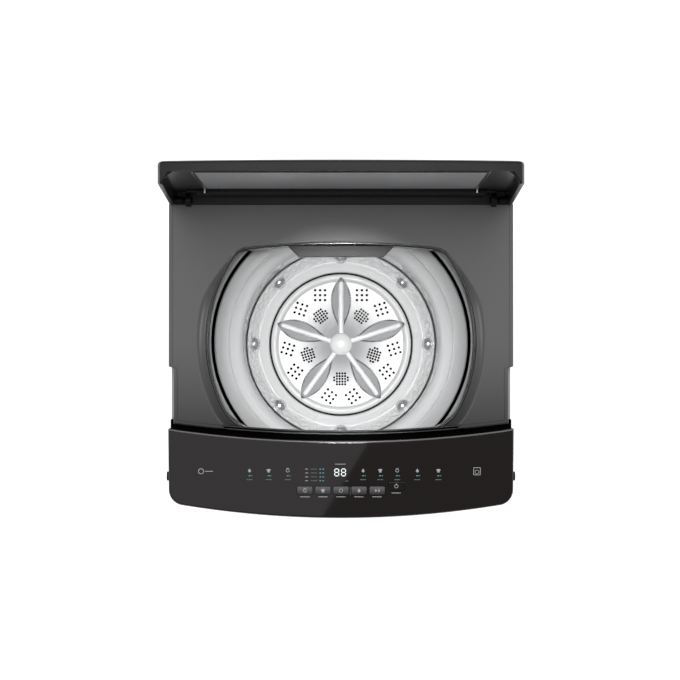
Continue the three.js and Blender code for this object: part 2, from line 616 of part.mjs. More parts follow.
function suspensionRod(sx, sy) {
  const { radius, bottom, bracket, bracketSheet } = ROD;
  const seat = bracket + bracketSheet + GAP;
  const profile = [[0, bottom], [12, bottom], [12, bottom + 4], [radius, bottom + 4], [radius, seat],
    [12, seat],
    [12, seat + 5], [7, seat + 13], [0, seat + 13]];
  return turned(profile, SMALL).translate([sx * ROD.x, sy * ROD.y, 0]);
}

function damperCup(sx, sy) {
  const top = LUG.bottom - GAP;
  const low = top - 34;
  const bore = ROD.radius + 1;
  const profile = [[14, low], [22, low], [22, top - 6], [18, top], [bore, top], [bore, top - 5], [14,
    top - 5]];
  return turned(profile, SMALL).translate([sx * ROD.x, sy * ROD.y, 0]);
}

// ---------------------------------------------------------------- basket and pulsator
const FLANGE = { bottom: 311, top: 322.6, radius: 150 };

function basketWall() {
  const { topRadius, lowRadius, wall, top, taperTop, taperBottom, bottom } = BASKET;
  return turned([[lowRadius, bottom], [lowRadius + 3, taperBottom], [topRadius, taperTop], [topRadius, top],
    [topRadius - wall, top], [topRadius - wall, taperTop], [lowRadius + 3 - wall, taperBottom],
    [lowRadius - wall, bottom]]);
}

const BOWL = { foot: 366, rim: 402, slopeRadius: 144, slopeTop: 384, ledge: 356, wellTop: 352,
  wellFloor: 334 };

function basketBase() {
  const outer = BASKET.lowRadius - BASKET.wall - GAP;
  const well = PULSATOR.radius + 3;
  const bore = SHAFT.spinRadius + 3;
  const seat = BASKET.bottom;
  return turned([[bore, seat], [outer, seat], [outer, BOWL.foot], [BOWL.slopeRadius, BOWL.foot],
    [well + 4, BOWL.ledge], [well, BOWL.wellTop], [well, BOWL.wellFloor], [bore, BOWL.wellFloor]]);
}

/** The upper part of the bowl, which stands on the base against the foot of the wall. */
function basketRim() {
  const outer = BASKET.lowRadius - BASKET.wall - GAP;
  const foot = BOWL.foot + GAP;
  return turned([[BOWL.slopeRadius + GAP, foot], [outer, foot], [outer, BOWL.rim], [outer - 3, BOWL.rim],
    [outer - 10, BOWL.slopeTop]]);
}

function balanceRing() {
  const { outer, inner, top, bottom } = RING;
  return turned([[inner, bottom + 8], [inner + 3, bottom], [outer - 1, bottom], [outer - 1, top - 6],
    [outer - 3, top - 2],
    [outer - 10, top], [178, top], [176.5, top - 1.5], [175, top], [inner + 14, top - 2], [inner + 4,
    top - 10], [inner, top - 20]]);
}

function basketFlange() {
  const { bottom, top, radius } = FLANGE;
  const bore = SHAFT.spinRadius + GAP;
  return turned([[bore, bottom], [46, bottom], [50, top - 6], [radius, top - 4], [radius, top], [bore,
    top]], MEDIUM);
}

function spinShaft() {
  const { washRadius, spinRadius } = SHAFT;
  return turned([[washRadius + GAP, GEARBOX.bottom + 2], [spinRadius, GEARBOX.bottom + 2], [spinRadius,
    FLANGE.top],
    [washRadius + GAP, FLANGE.top]], 24);
}

function washShaft() {
  const bottom = PULLEY.bottom - 4;
  const top = PULSATOR.bottom + 2;
  return turned([[0, bottom], [SHAFT.washRadius, bottom], [SHAFT.washRadius, top], [0, top]], 24);
}

const LINT_FILTER = { halfWidth: 34, bottom: 630, top: 752, depth: 18 };

function lintFilter() {
  const { halfWidth, bottom, top, depth } = LINT_FILTER;
  const reach = BASKET.topRadius - BASKET.wall - 2 * GAP;
  const back = cylinder(reach, [bottom, top], [0, 0], 'z', FINE);
  const frame = block([-halfWidth, halfWidth], [reach - depth, reach + OVERLAP], [bottom,
    top]).intersect(back);
  return join(frame, block([10 - halfWidth, halfWidth - 10], [reach - depth - 5, reach - depth + 1],
    [bottom + 12, top - 12]));
}

function pulsator() {
  const { radius, bottom, top, rim, petals } = PULSATOR;
  const bore = SHAFT.washRadius + GAP;
  const dish = turned([[bore, bottom], [radius - 3, bottom], [radius, bottom + 4], [radius - 1, top + 3],
    [radius - 5, top + 5],
    [radius - rim, top + 3], [radius - rim - 3, top], [30, top + 2], [bore, top + 4]], FINE);
  const vane = (i) => {
    const shape = new THREE.Shape();
    shape.moveTo(24, 0);
    shape.quadraticCurveTo(66, 22, radius - 8, 0);
    shape.quadraticCurveTo(66, -22, 24, 0);
    const geometry = new THREE.ExtrudeGeometry(shape, { depth: 11, bevelEnabled: false, curveSegments: 6 });
    return solidFrom(geometry.translate(0, 0, top - 4).rotateZ(Math.PI / 2 + (2 * Math.PI * i) / petals));
  };
  return join(dish, ...Array.from({ length: petals }, (_, i) => vane(i)));
}

function pulsatorCap() {
  const bottom = PULSATOR.top + 7;
  return turned([[0, bottom], [20.5, bottom], [19.5, bottom + 4], [14, bottom + 8], [7, bottom + 10], [0,
    bottom + 10.6]], 24);
}

// ---------------------------------------------------------------- put the machine together
add('base_frame', baseFrame(), FINISH.blackPlastic);
add('cabinet_shell', cabinetShell(), FINISH.cabinetPaint);
add('back_panel', backPanel(), FINISH.zincSteel);
add('top_cover', topCover(), FINISH.darkPlastic);
add('control_housing', controlHousing(), FINISH.blackPlastic);
add('control_face', controlFace(), FINISH.consoleGloss);
add('console_trim', consoleTrim(), FINISH.lightTrim);
add('display_module', displayModule(), FINISH.blackPlastic);
add('control_board', controlBoard(), FINISH.boardGreen);
KEYS.forEach((key) => add(key.name, faceBlock(key.x, key.y, KEY.width, KEY.depth, -KEY.proud, KEY.reach),
  FINISH.keyGrey));
add('screw_cap_left', screwCap(-1), FINISH.blackPlastic);
add('screw_cap_right', screwCap(1), FINISH.blackPlastic);
add('dispenser_housing', dispenserHousing(), FINISH.tubPlastic);
add('detergent_drawer', detergentDrawer(), FINISH.darkPlastic);
add('inlet_valve', inletValve(), FINISH.tubPlastic);
add('inlet_hose', inletHose(), FINISH.rubber);
add('lid_lock', lidLock(), FINISH.blackPlastic);
add('drain_stub', stubThroughBack(DRAIN.radius, DRAIN.radius - 4, DRAIN.x, DRAIN.z, DRAIN.inside, 269),
  FINISH.blackPlastic);
add('cord_gland', stubThroughBack(CORD_GLAND.radius, 4, CORD_GLAND.x, CORD_GLAND.z, 246, 266),
  FINISH.rubber);
add('drain_hose', drainHose(), FINISH.rubber);
add('hinge_pin_left', hingePin(-1), FINISH.zincSteel);
add('hinge_pin_right', hingePin(1), FINISH.zincSteel);
CORNERS.forEach(([corner, sx, sy]) => {
  add(`foot_${corner}`, levellingFoot(sx, sy), FINISH.rubber);
  add(`suspension_rod_${corner}`, suspensionRod(sx, sy), FINISH.zincSteel);
  add(`damper_cup_${corner}`, damperCup(sx, sy), FINISH.blackPlastic);
});
add('outer_tub', outerTub(), FINISH.tubPlastic);
add('tub_cover', tubCover(), FINISH.tubPlastic);
add('tub_support', tubSupport(), FINISH.zincSteel);
add('gearbox', gearbox(), FINISH.castAluminium);
add('motor', motor(), FINISH.motorPaint);
add('drain_valve', drainValve(), FINISH.tubPlastic);
add('drive_belt', driveBelt(), FINISH.rubber);
add('motor_pulley', pulley(PULLEY.motorRadius, 0).translate([MOTOR.x, 0, 0]), FINISH.castAluminium);
add('drive_pulley', pulley(PULLEY.driveRadius, SHAFT.washRadius + GAP), FINISH.castAluminium);
add('wash_shaft', washShaft(), FINISH.zincSteel);
add('spin_shaft', spinShaft(), FINISH.zincSteel);
add('basket_flange', basketFlange(), FINISH.castAluminium);
add('basket_wall', basketWall(), FINISH.stainless);
add('basket_base', basketBase(), FINISH.ringPlastic);
add('basket_rim', basketRim(), FINISH.ringPlastic);
add('balance_ring', balanceRing(), FINISH.ringPlastic);
add('lint_filter', lintFilter(), FINISH.tubPlastic);
add('pulsator', pulsator(), FINISH.ringPlastic);
add('pulsator_cap', pulsatorCap(), FINISH.ringPlastic);
add('lid_frame', lidFrame(), FINISH.darkPlastic);
add('lid_glass', lidGlass(), FINISH.tintedGlass);

export default machine;
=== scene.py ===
"""Top load washing machine with its lid open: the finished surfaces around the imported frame."""
import json
import logging
import math
from dataclasses import dataclass
from enum import Enum
from typing import Callable, Iterable, Sequence

import bmesh
import bpy
from mathutils import Matrix, Vector


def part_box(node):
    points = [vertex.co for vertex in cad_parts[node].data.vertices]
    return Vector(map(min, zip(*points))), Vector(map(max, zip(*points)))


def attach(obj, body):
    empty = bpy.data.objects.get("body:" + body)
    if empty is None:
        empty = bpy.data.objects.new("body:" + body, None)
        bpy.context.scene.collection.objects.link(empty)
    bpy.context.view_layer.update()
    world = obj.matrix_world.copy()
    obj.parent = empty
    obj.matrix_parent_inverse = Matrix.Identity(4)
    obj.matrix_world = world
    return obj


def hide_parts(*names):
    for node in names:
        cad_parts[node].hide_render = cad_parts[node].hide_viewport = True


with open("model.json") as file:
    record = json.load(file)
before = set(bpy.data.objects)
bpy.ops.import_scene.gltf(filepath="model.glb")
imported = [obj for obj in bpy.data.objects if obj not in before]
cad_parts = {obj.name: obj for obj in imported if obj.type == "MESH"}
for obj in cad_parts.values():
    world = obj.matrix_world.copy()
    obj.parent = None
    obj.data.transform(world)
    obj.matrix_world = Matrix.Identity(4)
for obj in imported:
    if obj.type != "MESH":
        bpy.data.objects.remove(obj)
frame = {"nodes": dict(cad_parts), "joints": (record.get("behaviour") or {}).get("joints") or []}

LOG = logging.getLogger("washing_machine")
MM = 0.001
Point = tuple[float, float]
Mesh = bmesh.types.BMesh


# ------------------------------------------------------------------------------------------ materials
def linear(hex_color: str) -> tuple[float, float, float, float]:
    """Turn an sRGB hex colour into a linear one.

    Args:
        hex_color: six hex digits after a hash.

    Returns:
        Red, green, blue and a full alpha.
    """
    parts = [int(hex_color[i:i + 2], 16) / 255 for i in (1, 3, 5)]
    red, green, blue = (c / 12.92 if c <= 0.04045 else ((c + 0.055) / 1.055) ** 2.4 for c in parts)
    return red, green, blue, 1.0


def add_node(tree: bpy.types.NodeTree, kind: str, inputs: dict | None = None,
             **settings: object) -> bpy.types.Node:
    """Add a node with its settings, input values and links.

    Args:
        tree: the material's node tree.
        kind: the node's type name.
        inputs: an input's name or number, and its value or the socket to link to it.
        settings: the node's own properties.

    Returns:
        The new node.
    """
    made = tree.nodes.new(kind)
    for name, value in settings.items():
        setattr(made, name, value)
    for name, value in (inputs or {}).items():
        if isinstance(value, bpy.types.NodeSocket):
            tree.links.new(value, made.inputs[name])
        else:
            made.inputs[name].default_value = value
    return made


class Weathering(Enum):
    """How a finish varies over a surface."""

    MOULDED = "moulded"
    BRUSHED = "brushed"
    CAST = "cast"


@dataclass(frozen=True)
class Finish:
    """One real material: what it is, its colour and how its surface was made."""

    name: str
    color: str
    roughness: float
    metallic: float = 0.0
    ior: float = 1.5
    grain_mm: float = 1.2
    bump_mm: float = 0.02
    mottle: float = 0.04
    smudge: float = 0.06
    weathering: Weathering = Weathering.MOULDED
    transmission: float = 0.0
    glow: float = 0.0
    specular: float = 0.5

    def material(self) -> bpy.types.Material:
        """Build the material, or return it where it is built already."""
        known = bpy.data.materials.get(self.name)
        if known:
            return known
        made = bpy.data.materials.new(self.name)
        made.use_nodes = True
        tree = made.node_tree
        shader = tree.nodes["Principled BSDF"]
        place = add_node(tree, "ShaderNodeTexCoord").outputs["Object"]
        color, rough, bump = self.surface(tree, place)
        tree.links.new(color, shader.inputs["Base Color"])
        tree.links.new(rough, shader.inputs["Roughness"])
        tree.links.new(bump, shader.inputs["Normal"])
        shader.inputs["Metallic"].default_value = self.metallic
        shader.inputs["IOR"].default_value = self.ior
        shader.inputs["Specular IOR Level"].default_value = self.specular
        shader.inputs["Transmission Weight"].default_value = self.transmission
        if self.glow:
            shader.inputs["Emission Color"].default_value = linear(self.color)
            shader.inputs["Emission Strength"].default_value = self.glow
        return made

    def surface(self, tree: bpy.types.NodeTree, place: bpy.types.NodeSocket) -> tuple:
        """Make the colour, roughness and bump of this finish.

        Args:
            tree: the material's node tree.
            place: object coordinates.

        Returns:
            The colour, roughness and normal sockets.
        """
        stretch = {Weathering.BRUSHED: (1.0, 1.0, 26.0)}.get(self.weathering, (1.0, 1.0, 1.0))
        spread = add_node(tree, "ShaderNodeMapping", {"Vector": place, "Scale": stretch}).outputs["Vector"]
        grain = add_node(tree, "ShaderNodeTexNoise", {
            "Vector": spread, "Scale": 1 / (self.grain_mm * MM), "Detail": 3.0,
            "Roughness": 0.6}).outputs["Fac"]
        cloud = add_node(tree, "ShaderNodeTexNoise", {
            "Vector": place, "Scale": 9.0, "Detail": 4.0, "Roughness": 0.55}).outputs["Fac"]
        fleck = add_node(tree, "ShaderNodeMix", {"Factor": 0.35, 2: cloud, 3: grain}).outputs[0]
        tone = add_node(tree, "ShaderNodeMapRange", {
            "Value": fleck, "To Min": 1 - self.mottle, "To Max": 1 + self.mottle}).outputs["Result"]
        color = add_node(tree, "ShaderNodeMix", {
            "Factor": 1.0, 6: linear(self.color), 7: tone}, data_type="RGBA",
            blend_type="MULTIPLY").outputs[2]
        rough = add_node(tree, "ShaderNodeMapRange", {
            "Value": cloud, "From Min": 0.3, "From Max": 0.7,
            "To Min": max(self.roughness - self.smudge, 0.01),
            "To Max": self.roughness + self.smudge}).outputs["Result"]
        bump = add_node(tree, "ShaderNodeBump", {
            "Height": grain, "Distance": self.bump_mm * MM, "Strength": 0.6}).outputs["Normal"]
        return color, rough, bump


@dataclass(frozen=True)
class EmbossedSteel(Finish):
    """Stainless sheet rolled with a field of small diamonds, which sparkles as its facets turn."""

    cell_mm: float = 9.0

    def surface(self, tree: bpy.types.NodeTree, place: bpy.types.NodeSocket) -> tuple:
        """Add the rolled diamonds to the brushed grain.

        Args:
            tree: the material's node tree.
            place: object coordinates.

        Returns:
            The colour, roughness and normal sockets.
        """
        color, rough, brushed = super().surface(tree, place)
        cells = add_node(tree, "ShaderNodeTexVoronoi", {
            "Vector": place, "Scale": 1 / (self.cell_mm * MM), "Randomness": 0.6},
            feature="F1").outputs["Distance"]
        bump = add_node(tree, "ShaderNodeBump", {
            "Height": cells, "Distance": 1.4 * MM, "Strength": 0.8, "Normal": brushed}).outputs["Normal"]
        return color, rough, bump


@dataclass(frozen=True)
class FrontFade(Finish):
    """Finish that fades from its own colour at the rear to a darker tone at the front of a node; on the deck
    this fade is painted shade.
    """

    front: str = "#3c3c3d"
    node: str = "delay_key"
    start: float = 0.0
    end: float = 1.0

    def surface(self, tree: bpy.types.NodeTree, place: bpy.types.NodeSocket) -> tuple:
        """Fade the colour over a share of the node's depth.

        Args:
            tree: the material's node tree.
            place: object coordinates.

        Returns:
            The colour, roughness and normal sockets.
        """
        _, rough, bump = super().surface(tree, place)
        low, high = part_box(self.node)
        deep = high.y - low.y
        y = add_node(tree, "ShaderNodeSeparateXYZ", {0: place}).outputs["Y"]
        share = add_node(tree, "ShaderNodeMapRange", {
            "Value": y, "From Min": low.y + self.start * deep, "From Max": low.y + self.end * deep},
            interpolation_type="SMOOTHSTEP").outputs["Result"]
        color = add_node(tree, "ShaderNodeMix", {
            "Factor": share, 6: linear(self.front), 7: linear(self.color)}, data_type="RGBA").outputs[2]
        return color, rough, bump


@dataclass(frozen=True)
class HubShadeFade(Finish):
    """White moulding with painted shade that greys it towards the hub."""

    # The colour of the painted shade at the hub.
    hub: str = "#8c8d90"
    start_mm: float = 24.0
    end_mm: float = 88.0

    def surface(self, tree: bpy.types.NodeTree, place: bpy.types.NodeSocket) -> tuple:
        """Fade the colour from the hub outwards.

        Args:
            tree: the material's node tree.
            place: object coordinates.

        Returns:
            The colour, roughness and normal sockets.
        """
        _, rough, bump = super().surface(tree, place)
        flat = add_node(tree, "ShaderNodeMapping",
                        {"Vector": place, "Scale": (1.0, 1.0, 0.0)}).outputs["Vector"]
        reach = add_node(tree, "ShaderNodeVectorMath", {0: flat}, operation="LENGTH").outputs["Value"]
        share = add_node(tree, "ShaderNodeMapRange", {
            "Value": reach, "From Min": self.start_mm * MM, "From Max": self.end_mm * MM},
            interpolation_type="SMOOTHSTEP").outputs["Result"]
        color = add_node(tree, "ShaderNodeMix", {
            "Factor": share, 6: linear(self.hub), 7: linear(self.color)}, data_type="RGBA").outputs[2]
        return color, rough, bump


# Satin ABS: graphite with soft, wide reflections of the room; its colour darkens from rear to front as
# painted shade, standing in for the light falling off towards the front.
DECK_ABS_PAINTED_SHADE = FrontFade("satin_graphite_abs_painted_shade", "#6c6c6d", 0.3, specular=0.36, grain_mm=0.8, bump_mm=0.004,
                     smudge=0.0, mottle=0.0,
                     front="#232324", node="top_cover", start=0.1, end=0.55)
# Lid ABS: the same resin a tone darker, with a duller skin.
LID_ABS = Finish("satin_dark_abs", "#1d1d1e", 0.3, specular=0.22, grain_mm=0.8, bump_mm=0.004, smudge=0.03,
                 mottle=0.02)
# Drawer front ABS: between the two tones, so that it stands out from the dish behind it.
NOSE_ABS = Finish("satin_slate_abs", "#1c1c1d", 0.34, specular=0.25, grain_mm=0.8, bump_mm=0.004, smudge=0.03)
# Spark-eroded polypropylene: black, matt, with a fine leather-like tooth.
BLACK_PP = Finish("textured_black_pp", "#0b0b0c", 0.5, specular=0.25, grain_mm=0.7, bump_mm=0.04, smudge=0.08)
# Polished black ABS: nearly mirror black, with thin bright lines along its bends.
BLACK_GLOSS = Finish("polished_black_abs", "#060606", 0.12, specular=0.9, grain_mm=2, bump_mm=0.002,
                     smudge=0.02)
# Acrylic over dark print: a mirror-like brown black.
CONSOLE_ACRYLIC = Finish("smoked_acrylic", "#1e1717", 0.03, ior=1.49, grain_mm=3, bump_mm=0.0005, smudge=0.01)
# In-mould silver strip: satin, reads as a thin bright line.
TRIM_SILVER = Finish("satin_silver_strip", "#7d7d7e", 0.4, metallic=0.3, bump_mm=0.004)
# Bright sprung steel: small, polished, catches the light.
CLIP_STEEL = Finish("bright_spring_steel", "#d5d6d7", 0.2, metallic=1.0, bump_mm=0.004)
# Powder coat on steel sheet: silver grey with a faint orange peel.
CABINET_COAT = Finish("silver_powder_coat", "#c3c5c7", 0.36, grain_mm=2.4, bump_mm=0.05, smudge=0.05,
                      mottle=0.025)
# Zinc plate: cool grey with soft spangle.
ZINC = Finish("zinc_plate", "#a2a5a8", 0.38, metallic=1.0, grain_mm=5, bump_mm=0.02, mottle=0.1, smudge=0.12)
# Blackened steel: dark and dull, for pins that should not show.
BLACK_STEEL = Finish("blackened_steel", "#1c1c1d", 0.45, metallic=1.0, grain_mm=2, bump_mm=0.02)
# Injection-moulded white polypropylene: bright, waxy, softly glossy.
WHITE_PP = Finish("white_polypropylene", "#f1f2f2", 0.28, grain_mm=1.6, bump_mm=0.01, smudge=0.06,
                  mottle=0.015)
# Pulsator moulding: the same white, with painted shade greying it towards the hub.
PLATE_PP_HUB_SHADE = HubShadeFade("white_polypropylene_hub_shade", "#e2e3e3", 0.28, grain_mm=1.6, bump_mm=0.01, smudge=0.06)
# Balance ring polypropylene: a shade greyer than the bowl, very smooth.
RING_PP = Finish("pearl_polypropylene", "#f0f1f2", 0.22, grain_mm=1.6, bump_mm=0.006, smudge=0.05,
                 mottle=0.02)
# Natural tub polypropylene: duller and a little greyer.
TUB_PP = Finish("tub_polypropylene", "#cfd1d2", 0.45, grain_mm=2, bump_mm=0.04, mottle=0.04)
# Polished stainless: mirror-like, so each boss shows the dark and the bright of the drum.
BOSS_STEEL = Finish("polished_stainless", "#f4f5f6", 0.14, metallic=0.85, grain_mm=2, bump_mm=0.002,
                    mottle=0.02)
# Satin stainless: the same sheet left duller, so that its facets read as light and mid greys.
FACET_STEEL = Finish("satin_stainless", "#fafbfb", 0.2, metallic=0.35, grain_mm=2, bump_mm=0.01, mottle=0.05)
# Brushed stainless: embossed and bright.
DRUM_STEEL = EmbossedSteel("embossed_stainless", "#dcddde", 0.26, metallic=0.5, grain_mm=0.6, bump_mm=0.02,
                           weathering=Weathering.BRUSHED, mottle=0.06)
# Satin silver paint in the petals: a metallic grey with fine flecks.
PETAL_SILVER = Finish("satin_silver_paint", "#6e6f71", 0.42, metallic=0.12, grain_mm=2.4, bump_mm=0.05,
                      mottle=0.5)
# Keys: silver grey under gloss, the colour fading darker towards the front.
KEY_GRADE = FrontFade("graded_grey_key", "#77777a", 0.25, specular=0.3, bump_mm=0.004)
# Rubber: almost black, dusty and matt.
RUBBER = Finish("black_rubber", "#1b1b1b", 0.78, grain_mm=1.1, bump_mm=0.08, mottle=0.15, smudge=0.1)
# Cast aluminium: grainy as-cast skin.
CAST_ALU = Finish("cast_aluminium", "#a5a7a9", 0.5, metallic=1.0, grain_mm=1.4, bump_mm=0.12,
                  weathering=Weathering.CAST)
# Dipped motor paint: satin charcoal with runs.
MOTOR_PAINT = Finish("motor_enamel", "#34373a", 0.42, grain_mm=4, bump_mm=0.08, mottle=0.08)
# Glass epoxy board: green with a woven cast.
BOARD = Finish("glass_epoxy_board", "#1d5a35", 0.35, grain_mm=1.0, bump_mm=0.05, mottle=0.12)
# Tempered grey glass with crisp reflections; its pale grey base colour is painted reflection, lifting the
# dark tinted pane to the brightness of its grazing reflection.
GLASS_PAINTED_REFLECTION = Finish("grey_tempered_glass_painted_reflection", "#a4a5a7", 0.3, ior=1.52, transmission=0.2, specular=0.3, bump_mm=0.001,
               smudge=0.02)
# Painted shade: a near-black, dull colour laid where holes, key wells and the console gutter would show
# shade.
HOLLOW_SHADE = Finish("painted_hollow_shade", "#050506", 0.85, specular=0.05, bump_mm=0.01)
# Printed white ink: fine icons under the acrylic.
INK = Finish("white_ink", "#c9cacb", 0.5, bump_mm=0.002)
# Grey ink: fainter dashes and dividers.
GREY_INK = Finish("grey_ink", "#8b8c8e", 0.5, bump_mm=0.002)
# Indicator lamps: a pale teal glow.
LAMP = Finish("teal_lamp", "#4f9fa3", 0.4, bump_mm=0.002, glow=0.35)
# Display digits: cold white segments.
DIGIT = Finish("white_digit", "#f3fbff", 0.4, bump_mm=0.002, glow=0.8)


# ------------------------------------------------------------------------------------------ mesh tools
def clean(bm: Mesh, reach: float = 1e-6) -> Mesh:
    """Merge doubles and turn all faces outwards.

    Args:
        bm: the mesh, in metres.
        reach: how close two vertices are to count as one.

    Returns:
        The same mesh.
    """
    bmesh.ops.remove_doubles(bm, verts=bm.verts, dist=reach)
    bmesh.ops.dissolve_degenerate(bm, edges=bm.edges, dist=reach)
    bmesh.ops.recalc_face_normals(bm, faces=bm.faces)
    return bm


def chain(bm: Mesh, points: Iterable[Sequence[float]], closed: bool = False) -> list:
    """Lay a line of vertices and edges.

    Args:
        bm: the mesh to add to.
        points: places in millimetres.
        closed: join the last to the first.

    Returns:
        The edges.
    """
    verts = [bm.verts.new(Vector(point) * MM) for point in points]
    pairs = list(zip(verts, verts[1:])) + ([(verts[-1], verts[0])] if closed else [])
    return [bm.edges.new(pair) for pair in pairs]


def turned(profile: Sequence[Point], steps: int = 96, centre: Point = (0.0, 0.0)) -> Mesh:
    """Spin a profile round an upright axis.

    Args:
        profile: radius and height of each point, in millimetres; an open profile starts and ends on the axis.
        steps: how many steps go round.
        centre: where the axis stands.

    Returns:
        The turned mesh.
    """
    bm = bmesh.new()
    on_axis = profile[0][0] == 0 and profile[-1][0] == 0
    edges = chain(bm, [(r, 0.0, z) for r, z in profile], closed=not on_axis)
    verts = list({v for e in edges for v in e.verts})
    bmesh.ops.spin(bm, geom=verts + edges, cent=(0, 0, 0), axis=(0, 0, 1), angle=2 * math.pi, steps=steps,
                   use_merge=True)
    bmesh.ops.translate(bm, verts=bm.verts, vec=Vector((*centre, 0)) * MM)
    return clean(bm)


def lofted(rings: Sequence[Sequence[Sequence[float]]], ends: bool = True) -> Mesh:
    """Extrude a closed ring to the places of the next one, ring after ring.

    Args:
        rings: rings of places in millimetres, all of one count.
        ends: cap the first and last ring; where false the last one runs on into the first.

    Returns:
        The lofted mesh.
    """
    bm = bmesh.new()
    edges = chain(bm, rings[0], closed=True)
    first, verts = edges, list(bm.verts)
    for ring in [*rings[1:], *([] if ends else [rings[0]])]:
        made = bmesh.ops.extrude_edge_only(bm, edges=edges)["geom"]
        fresh = {part for part in made if isinstance(part, bmesh.types.BMVert)}
        verts = [next(e.other_vert(v) for e in v.link_edges if e.other_vert(v) in fresh) for v in verts]
        for vert, place in zip(verts, ring):
            vert.co = Vector(place) * MM
        edges = [part for part in made if isinstance(part, bmesh.types.BMEdge) and set(part.verts) <= fresh]
    if ends:
        for loop in (first, edges):
            bmesh.ops.contextual_create(bm, geom=loop)
    return clean(bm)


def prism(outline: Sequence[Point], low: float, high: float, edge: float = 0.0, segments: int = 2) -> Mesh:
    """Raise a flat outline between two heights and round its edges.

    Args:
        outline: X and Y of each point, in millimetres.
        low: the lower height.
        high: the upper height.
        edge: the radius of the rounded edges.
        segments: steps in each rounded edge.

    Returns:
        The raised mesh.
    """
    bm = bmesh.new()
    base = bm.faces.new([bm.verts.new(Vector((x, y, low)) * MM) for x, y in outline])
    raised = bmesh.ops.extrude_face_region(bm, geom=[base])["geom"]
    bmesh.ops.translate(bm, verts=[v for v in raised if isinstance(v, bmesh.types.BMVert)],
                        vec=(0, 0, (high - low) * MM))
    clean(bm)
    if edge:
        soften(bm, edge, segments)
    return bm


def soften(bm: Mesh, radius: float, segments: int = 2, above: float = 35.0) -> None:
    """Round the edges that are sharper than an angle.

    Args:
        bm: the mesh.
        radius: the width of the rounding, in millimetres.
        segments: steps in the rounding.
        above: the angle in degrees from which an edge counts as sharp.
    """
    sharp = [e for e in bm.edges if len(e.link_faces) == 2 and e.calc_face_angle(0) > math.radians(above)]
    bmesh.ops.bevel(bm, geom=sharp, offset=radius * MM, offset_type="OFFSET", affect="EDGES",
                    segments=segments,
                    profile=0.5, material=-1, clamp_overlap=True)


def box(x: Point, y: Point, z: Point, edge: float = 0.0, segments: int = 2) -> Mesh:
    """A block between limits on each axis, in millimetres, with rounded edges."""
    return prism([(x[0], y[0]), (x[1], y[0]), (x[1], y[1]), (x[0], y[1])], z[0], z[1], edge, segments)


def merged(parts: Sequence[Mesh]) -> Mesh:
    """Put several meshes into one.

    Args:
        parts: the meshes, which are freed.

    Returns:
        The mesh that holds them all.
    """
    whole = bmesh.new()
    for part in parts:
        spare = bpy.data.meshes.new("spare")
        part.to_mesh(spare)
        part.free()
        whole.from_mesh(spare)
        bpy.data.meshes.remove(spare)
    return whole


def moved(bm: Mesh, matrix: Matrix) -> Mesh:
    """Transform a whole mesh and return it."""
    bmesh.ops.transform(bm, matrix=matrix, verts=bm.verts)
    return bm


def polygon(radius: float, centre: Point, count: int = 6) -> list[Point]:
    """The corners of a regular polygon round a centre."""
    turn = [2 * math.pi * i / count for i in range(count)]
    return [(centre[0] + radius * math.cos(a), centre[1] + radius * math.sin(a)) for a in turn]


@dataclass
class Assembly:
    """A sub-assembly: it turns meshes into pieces that ride on one body."""

    body: str = "cabinet"

    def piece(self, name: str, bm: Mesh, finish: Finish, slot: str, stands_for: Sequence[str] = (),
              body: str = "", crease: float = 32.0) -> bpy.types.Object:
        """Make a finished piece.

        Args:
            name: the piece's name.
            bm: its mesh in metres, which is freed.
            finish: its material.
            slot: the record's material slot; not used.
            stands_for: the nodes that it replaces.
            body: the body it rides on, where it isn't the assembly's own.
            crease: the angle in degrees above which an edge stays sharp.

        Returns:
            The new object.
        """
        mesh = bpy.data.meshes.new(name)
        bm.to_mesh(mesh)
        bm.free()
        mesh.materials.append(finish.material())
        mesh.polygons.foreach_set("use_smooth", [True] * len(mesh.polygons))
        mesh.set_sharp_from_angle(angle=math.radians(crease))
        made = bpy.data.objects.new(name, mesh)
        bpy.context.scene.collection.objects.link(made)
        made.modifiers.new("flat_face_shading", "WEIGHTED_NORMAL").keep_sharp = True
        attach(made, body or self.body)
        if stands_for:
            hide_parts(*stands_for)
        LOG.info("%s: %d faces", name, len(mesh.polygons))
        return made

    def dress(self, finish: Finish, *nodes: str) -> None:
        """Give carried-over nodes a finish."""
        for node in nodes:
            made = frame["nodes"][node]
            made.data.materials.clear()
            made.data.materials.append(finish.material())
            LOG.info("%s: dressed as %s", node, finish.name)


# ------------------------------------------------------------------------------------------ outlines
def arched(x: float, half: float, side: float, middle: float) -> float:
    """Height of a shallow arch that is `side` at |x| = half and `middle` at x = 0."""
    return middle + (side - middle) * (x / half) ** 2


def ray_hits(outline: Sequence[Point], angles: Sequence[float]) -> list[Point]:
    """Where rays from the origin leave a closed outline.

    Args:
        outline: the outline's points in order.
        angles: the rays' angles in radians.

    Returns:
        One point for each angle.
    """
    hits = []
    for angle in angles:
        ray = Vector((math.cos(angle), math.sin(angle)))
        best = 0.0
        for (ax, ay), (bx, by) in zip(outline, [*outline[1:], outline[0]]):
            ex, ey = bx - ax, by - ay
            cross = ray.x * ey - ray.y * ex
            if abs(cross) < 1e-12:
                continue
            along = (ax * ey - ay * ex) / cross
            share = (ax * ray.y - ay * ray.x) / cross
            if along > 0 and -1e-9 <= share <= 1 + 1e-9:
                best = max(best, along)
        hits.append((ray.x * best, ray.y * best))
    return hits


def arc(centre: Point, radius: float, start: float, end: float, steps: int) -> list[Point]:
    """Points along a circular arc between two angles in degrees."""
    turn = [math.radians(start + (end - start) * i / steps) for i in range(steps + 1)]
    return [(centre[0] + radius * math.cos(a), centre[1] + radius * math.sin(a)) for a in turn]


